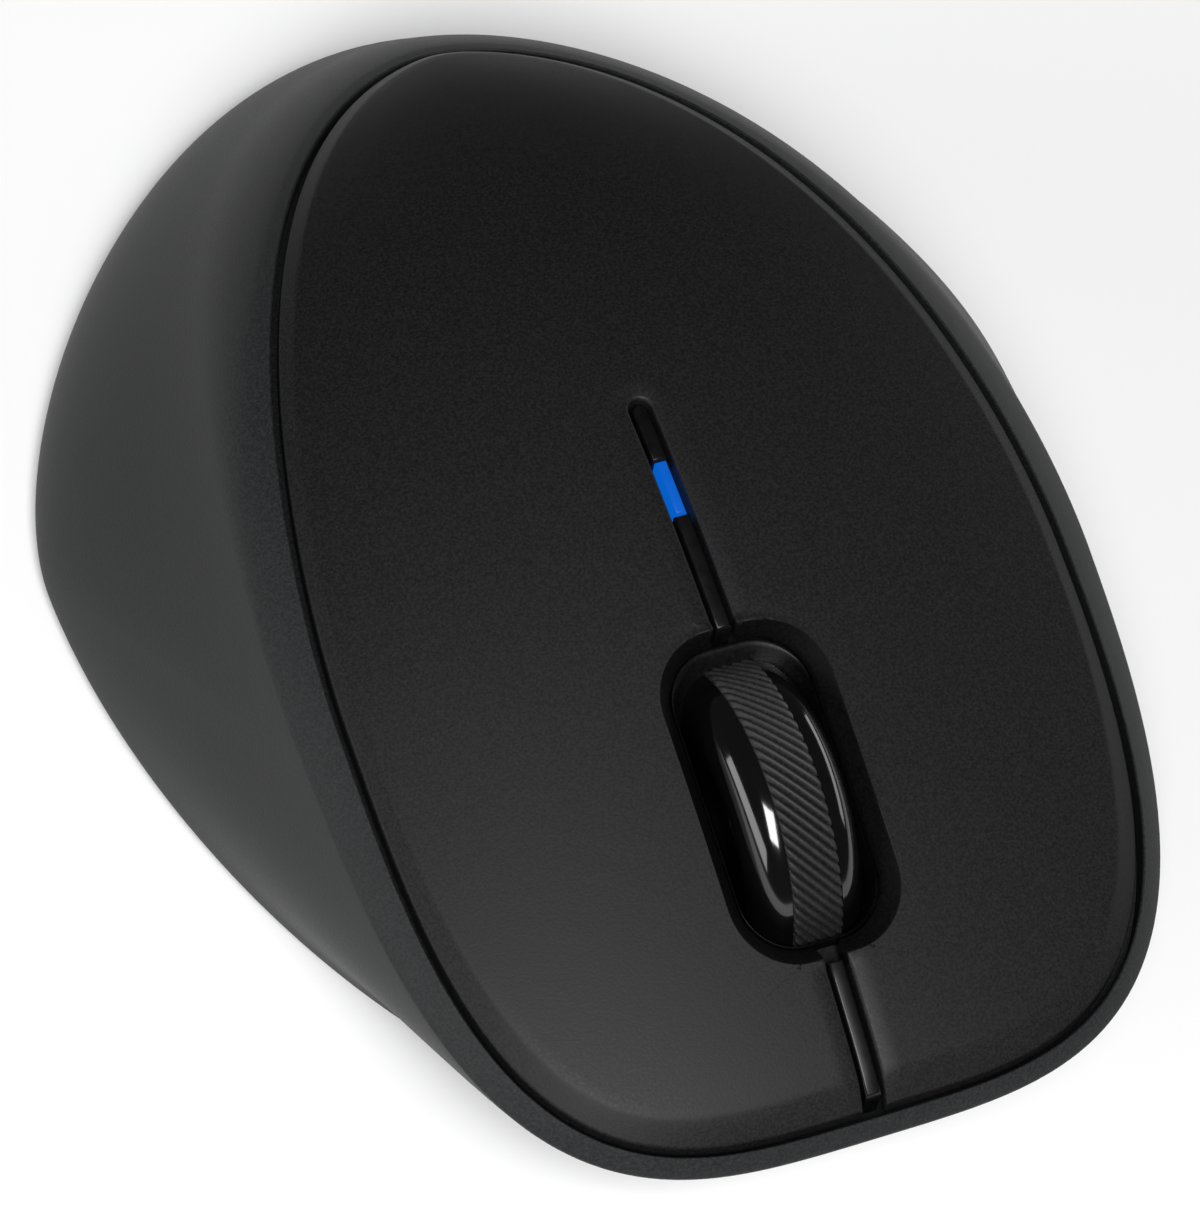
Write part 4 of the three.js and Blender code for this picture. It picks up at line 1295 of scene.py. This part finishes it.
@dataclass
class MiddleTrim:
    """The strips in the slot, the lit pipe between them and the collar in the window, in mm."""

    opening: Opening = Opening()
    strip_half_width: float = 0.58
    strip_drop: float = 0.42
    strip_depth: float = 3.0
    strip_rounding: float = 0.22
    strip_end_share: float = 0.96
    strip_step: float = 1.2
    strip_ends: tuple[float, float, float, float] = (0.8, 0.05, 0.1, 0.27)
    light: tuple[float, float] = (-9.1, -5.0)
    light_half_width: float = 0.42
    gap: float = 0.06
    lip: tuple[float, float, float, float] = (5.05, -38.65, -18.1, 3.8)
    hole: tuple[float, float, float, float] = (4.7, -38.2, -19.7, 3.6)
    corner_steps: int = 12
    collar_profile: tuple[tuple[float, float], ...] = (
        (-4.0, 4.2), (-4.0, 2.8), (-0.02, 2.75), (0.0, 2.0), (0.02, 1.84), (0.06, 1.77), (0.14, 1.75),
        (0.22, 1.8), (0.34, 1.95), (0.5, 2.2), (0.7, 2.5), (0.9, 2.8), (1.0, 3.1), (1.0, 4.2))

    def bar(
        self, name: str, front: float, rear: float, half: float, rounded_rear: bool = False,
    ) -> bpy.types.Object:
        """Builds one bar in the slot, rounded along its top.

        Args:
            name: the piece's name.
            front: its front end, in mm.
            rear: its rear end, in mm.
            half: half its width, in mm.
            rounded_rear: whether its rear end is a half circle from above.

        Returns:
            The bar, lying along the plate's middle line.
        """
        piece, near = block(name, (-half, front, -self.strip_depth), (half, rear, -self.strip_drop)), 0.01
        if rounded_rear:
            bevel_edges(piece, lambda a, b: min(a.y, b.y) > rear - near and abs(a.z - b.z) > near,
                        half * self.strip_end_share, 8)
        bevel_edges(piece, lambda a, b: min(a.z, b.z) > -self.strip_drop - near, self.strip_rounding, 4)
        count = max(2, round((rear - front) / self.strip_step))
        follow_plate(piece, [lerp(front, rear, i / count) for i in range(1, count)])
        smooth_shading(piece, 40)
        return piece

    def collar_outline(self, share: float) -> list[Vector]:
        """Draws the collar's outline from above.

        Args:
            share: 0 at its lip and 1 at its hole.

        Returns:
            The points of a rounded rectangle, always as many of them.
        """
        half, front, rear, corner = (lerp(a, b, share) for a, b in zip(self.lip, self.hole))
        points = []
        corners = ((1, front, -90), (1, rear, 0), (-1, rear, 90), (-1, front, 180))
        for sign, edge, start in corners:
            cx = sign * (half - corner)
            cy = edge + (corner if edge == front else -corner)
            for i in range(self.corner_steps + 1):
                turn = math.radians(start + 90 * i / self.corner_steps)
                points.append(Vector((cx + corner * math.cos(turn), cy + corner * math.sin(turn))))
        return points

    def collar(self) -> bpy.types.Object:
        """Builds the dished collar: a thin rolled lip, a curved fall and the hole's wall."""
        rows = []
        for share, drop in self.collar_profile:
            outline = self.collar_outline(share)
            rows.append([Vector((p.x, p.y, FORM.plate_height(0, p.y) - drop)) for p in outline])
        collar = skin("window_collar", rows)
        smooth_shading(collar, 40)
        return collar

    def build(self) -> None:
        """Builds the strips, the lit pipe and the collar."""
        light_front, light_rear = self.light
        half, opening = self.strip_half_width, self.opening
        at_mouth, before_window, behind_window, at_rear = self.strip_ends
        mouth, window_front = FORM.seam.front + at_mouth, opening.top_front - before_window
        window_rear, slot_rear = opening.top_rear + behind_window, opening.slot_rear - at_rear
        front = self.bar("slot_strip_front", mouth, window_front, half)
        middle = self.bar("slot_strip_middle", window_rear, light_front - self.gap, half)
        rear = self.bar("slot_strip_rear", light_rear + self.gap, slot_rear, half, True)
        lit = self.bar("lit_pipe", light_front, light_rear, self.light_half_width)
        collar = self.collar()
        for piece in (front, middle, rear):
            dress(piece, SATIN_ABS)
        dress(collar, DULL_ABS)
        dress(lit, LIT_ACRYLIC)
        fit(front, Body.HOUSING, "gloss_black", "front_slot_strip")
        fit(middle, Body.HOUSING, "gloss_black", "rear_slot_strip")
        fit(rear, Body.HOUSING, "gloss_black")
        fit(lit, Body.HOUSING, "blue_light", "light_pipe")
        fit(collar, Body.HOUSING, "gloss_black", "wheel_bezel")


# ---- wheel -------------------------------------------------------------------------


@dataclass
class ScrollWheel:
    """The wheel: polished shoulders either side of a ribbed rubber tread. Sizes in mm."""

    y: float = -26.9
    z: float = 15.7
    radius: float = 11.55
    half_width: float = 4.2
    tread_half_width: float = 1.8
    shoulder_radius: float = 11.2
    face_radius: float = 8.3
    seat_radius: float = 9.9
    seat_gap: float = 0.05
    shoulder_steps: int = 12
    turn_steps: int = 144
    bore: float = 1.3
    face_profile: tuple[tuple[float, float], ...] = (
        (0.1, 7.9), (0.9, 7.6), (1.0, 7.2), (1.0, 3.0), (0.6, 2.7), (0.3, 2.5))
    tyre_inner_radius: float = 9.95
    tyre_sides: tuple[tuple[float, float], ...] = ((0.0, 0.75), (0.0, 0.28), (0.07, 0.1), (0.22, 0.02))
    tyre_flat_inset: float = 0.4
    tyre_steps: tuple[int, int] = (14, 8)
    ribs_end: float = 0.7
    ribs: int = 80
    rib_depth: float = 0.32
    rib_roundness: float = 0.9
    rib_slant: float = 1.35
    samples_per_rib: int = 12

    def centre(self) -> Vector:
        """Returns the middle of the axle."""
        return Vector((0, self.y, self.z))

    def hub(self) -> bpy.types.Object:
        """Builds the hub by spinning its profile round the axle."""
        tread, side, gap = self.tread_half_width, self.half_width, self.seat_gap
        right = [(tread, self.seat_radius), (tread, self.shoulder_radius - gap)]
        for i in range(self.shoulder_steps + 1):
            turn = i / self.shoulder_steps * math.pi / 2
            radius = self.face_radius + (self.shoulder_radius - self.face_radius) * math.cos(turn)
            right.append((tread + gap + (side - tread - gap) * math.sin(turn), radius))
        right += [(side - inset, radius) for inset, radius in self.face_profile]
        right.append((right[-1][0], self.bore))
        left = [(-x, r) for x, r in reversed(right)]
        return turned("wheel_hub_polished", left + right, self.centre(), self.turn_steps)

    def groove_depth(self, step: int) -> float:
        """Returns how deep the tread is between its rounded ribs, at a step round the wheel."""
        crest = abs(math.cos(math.pi * step / self.samples_per_rib)) ** self.rib_roundness
        return self.rib_depth * (1 - crest)

    def tyre(self) -> bpy.types.Object:
        """Builds the ribbed tread as one closed band, whose grid slants with its ribs."""
        half, flat = self.tread_half_width, self.tread_half_width - self.tyre_flat_inset
        across = [(inset - half, fall, fall < self.ribs_end) for inset, fall in self.tyre_sides]
        over, under = self.tyre_steps
        across += [(lerp(-flat, flat, i / over), 0.0, True) for i in range(over + 1)]
        across += [(-x, fall, ribbed) for x, fall, ribbed in reversed(across[:len(self.tyre_sides)])]
        seat = self.radius - self.tyre_inner_radius
        across += [(lerp(half, -half, i / under), seat, False) for i in range(under + 1)]
        count, rows = self.ribs * self.samples_per_rib, []
        for x, fall, ribbed in across:
            row = []
            for i in range(count):
                turn = (i / count - x * self.rib_slant / self.ribs) * math.tau
                radius = self.radius - fall - (self.groove_depth(i) if ribbed else 0.0)
                row.append(self.centre() + Vector((x, radius * math.sin(turn), radius * math.cos(turn))))
            rows.append(row)
        return skin("wheel_tread", rows)

    def build(self) -> None:
        """Builds the hub and the tyre and fixes them to the wheel."""
        hub, tyre = self.hub(), self.tyre()
        smooth_shading(hub, 35)
        smooth_shading(tyre, 50)
        dress(hub, POLISHED_ABS)
        dress(tyre, TREAD_RUBBER)
        fit(hub, Body.WHEEL, "gloss_black", "wheel_hub")
        fit(tyre, Body.WHEEL, "rubber", "wheel_tyre")


# ---- studio ------------------------------------------------------------------------


@dataclass(frozen=True)
class SoftBox:
    """A rectangular studio light. Direction and sizes in metres from the mouse."""

    name: str
    place: tuple[float, float, float]
    size: tuple[float, float]
    power: float
    aim: tuple[float, float, float] = (0.0, 0.0, 0.02)

    def build(self) -> None:
        """Adds the light, turned towards its aim."""
        light = bpy.data.lights.new(self.name, "AREA")
        light.shape = "RECTANGLE"
        light.size, light.size_y = self.size
        light.energy = self.power
        holder = bpy.data.objects.new(self.name, light)
        holder.location = self.place
        holder.rotation_euler = (Vector(self.aim) - Vector(self.place)).to_track_quat("-Z", "Y").to_euler()
        bpy.context.scene.collection.objects.link(holder)


@dataclass
class Studio:
    """Camera, pale floor and soft light. Angles in degrees, distances in mm."""

    azimuth: float = -33.35
    elevation: float = 57.16
    roll: float = 13.85
    target: tuple[float, float, float] = (0.0, -6.1, 18.4)
    distance: float = 440.9
    lens: float = 186.7
    shift: tuple[float, float] = (-0.0384, -0.0442)
    world: float = 0.05
    boxes: tuple[SoftBox, ...] = (
        SoftBox("key_light", (-0.25, -0.72, 1.08), (0.6, 0.6), 21.0),
        SoftBox("left_strip", (-0.95, -0.1, 0.28), (1.1, 0.34), 4.6),
        SoftBox("right_strip", (1.0, 0.1, 0.25), (1.0, 0.22), 1.9),
    )

    def camera(self) -> None:
        """Adds the camera."""
        a, e, r = (math.radians(v) for v in (self.azimuth, self.elevation, self.roll))
        back = Vector((math.sin(a) * math.cos(e), -math.cos(a) * math.cos(e), math.sin(e)))
        right = Vector((math.cos(a), math.sin(a), 0))
        up = back.cross(right)
        across = right * math.cos(r) + up * math.sin(r)
        along = up * math.cos(r) - right * math.sin(r)
        data = bpy.data.cameras.new("camera")
        data.lens, data.sensor_width, data.sensor_fit = self.lens, 36, "AUTO"
        data.shift_x, data.shift_y = self.shift
        data.clip_start, data.clip_end = 0.01, 50
        holder = bpy.data.objects.new("camera", data)
        matrix = holder.matrix_world.to_3x3()
        for i, axis in enumerate((across, along, back)):
            matrix.col[i] = axis
        holder.matrix_world = matrix.to_4x4()
        holder.location = (Vector(self.target) + back * self.distance) * MM
        bpy.context.scene.collection.objects.link(holder)
        bpy.context.scene.camera = holder

    def floor(self) -> None:
        """Adds the pale sweep that the mouse stands on."""
        pick()
        bpy.ops.mesh.primitive_plane_add(size=6, location=(0, 0, 0))
        sweep = new_piece("studio_floor")
        material = bpy.data.materials.new("matte_white_sweep")
        material.use_nodes = True
        inputs = material.node_tree.nodes["Principled BSDF"].inputs
        inputs["Base Color"].default_value = linear("#f4f4f4")
        inputs["Roughness"].default_value = 0.9
        inputs["Specular IOR Level"].default_value = 0.1
        sweep.data.materials.append(material)

    def build(self) -> None:
        """Builds the studio."""
        world = bpy.data.worlds.new("studio")
        world.use_nodes = True
        inputs = world.node_tree.nodes["Background"].inputs
        inputs["Color"].default_value = (1, 1, 1, 1)
        inputs["Strength"].default_value = self.world
        bpy.context.scene.world = world
        bpy.context.scene.view_settings.view_transform = "Standard"
        self.camera()
        self.floor()
        for box in self.boxes:
            box.build()
        LOG.info("studio: %d lights", len(self.boxes))


def main() -> None:
    """Builds the mouse piece by piece, then the studio."""
    logging.basicConfig(level=logging.INFO, format="%(name)s: %(message)s")
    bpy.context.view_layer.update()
    dress_nodes()
    Housing().build()
    BatteryDoor().build()
    TopPlate().build()
    MiddleTrim().build()
    ScrollWheel().build()
    Studio().build()


if __name__ == "__main__":
    main()
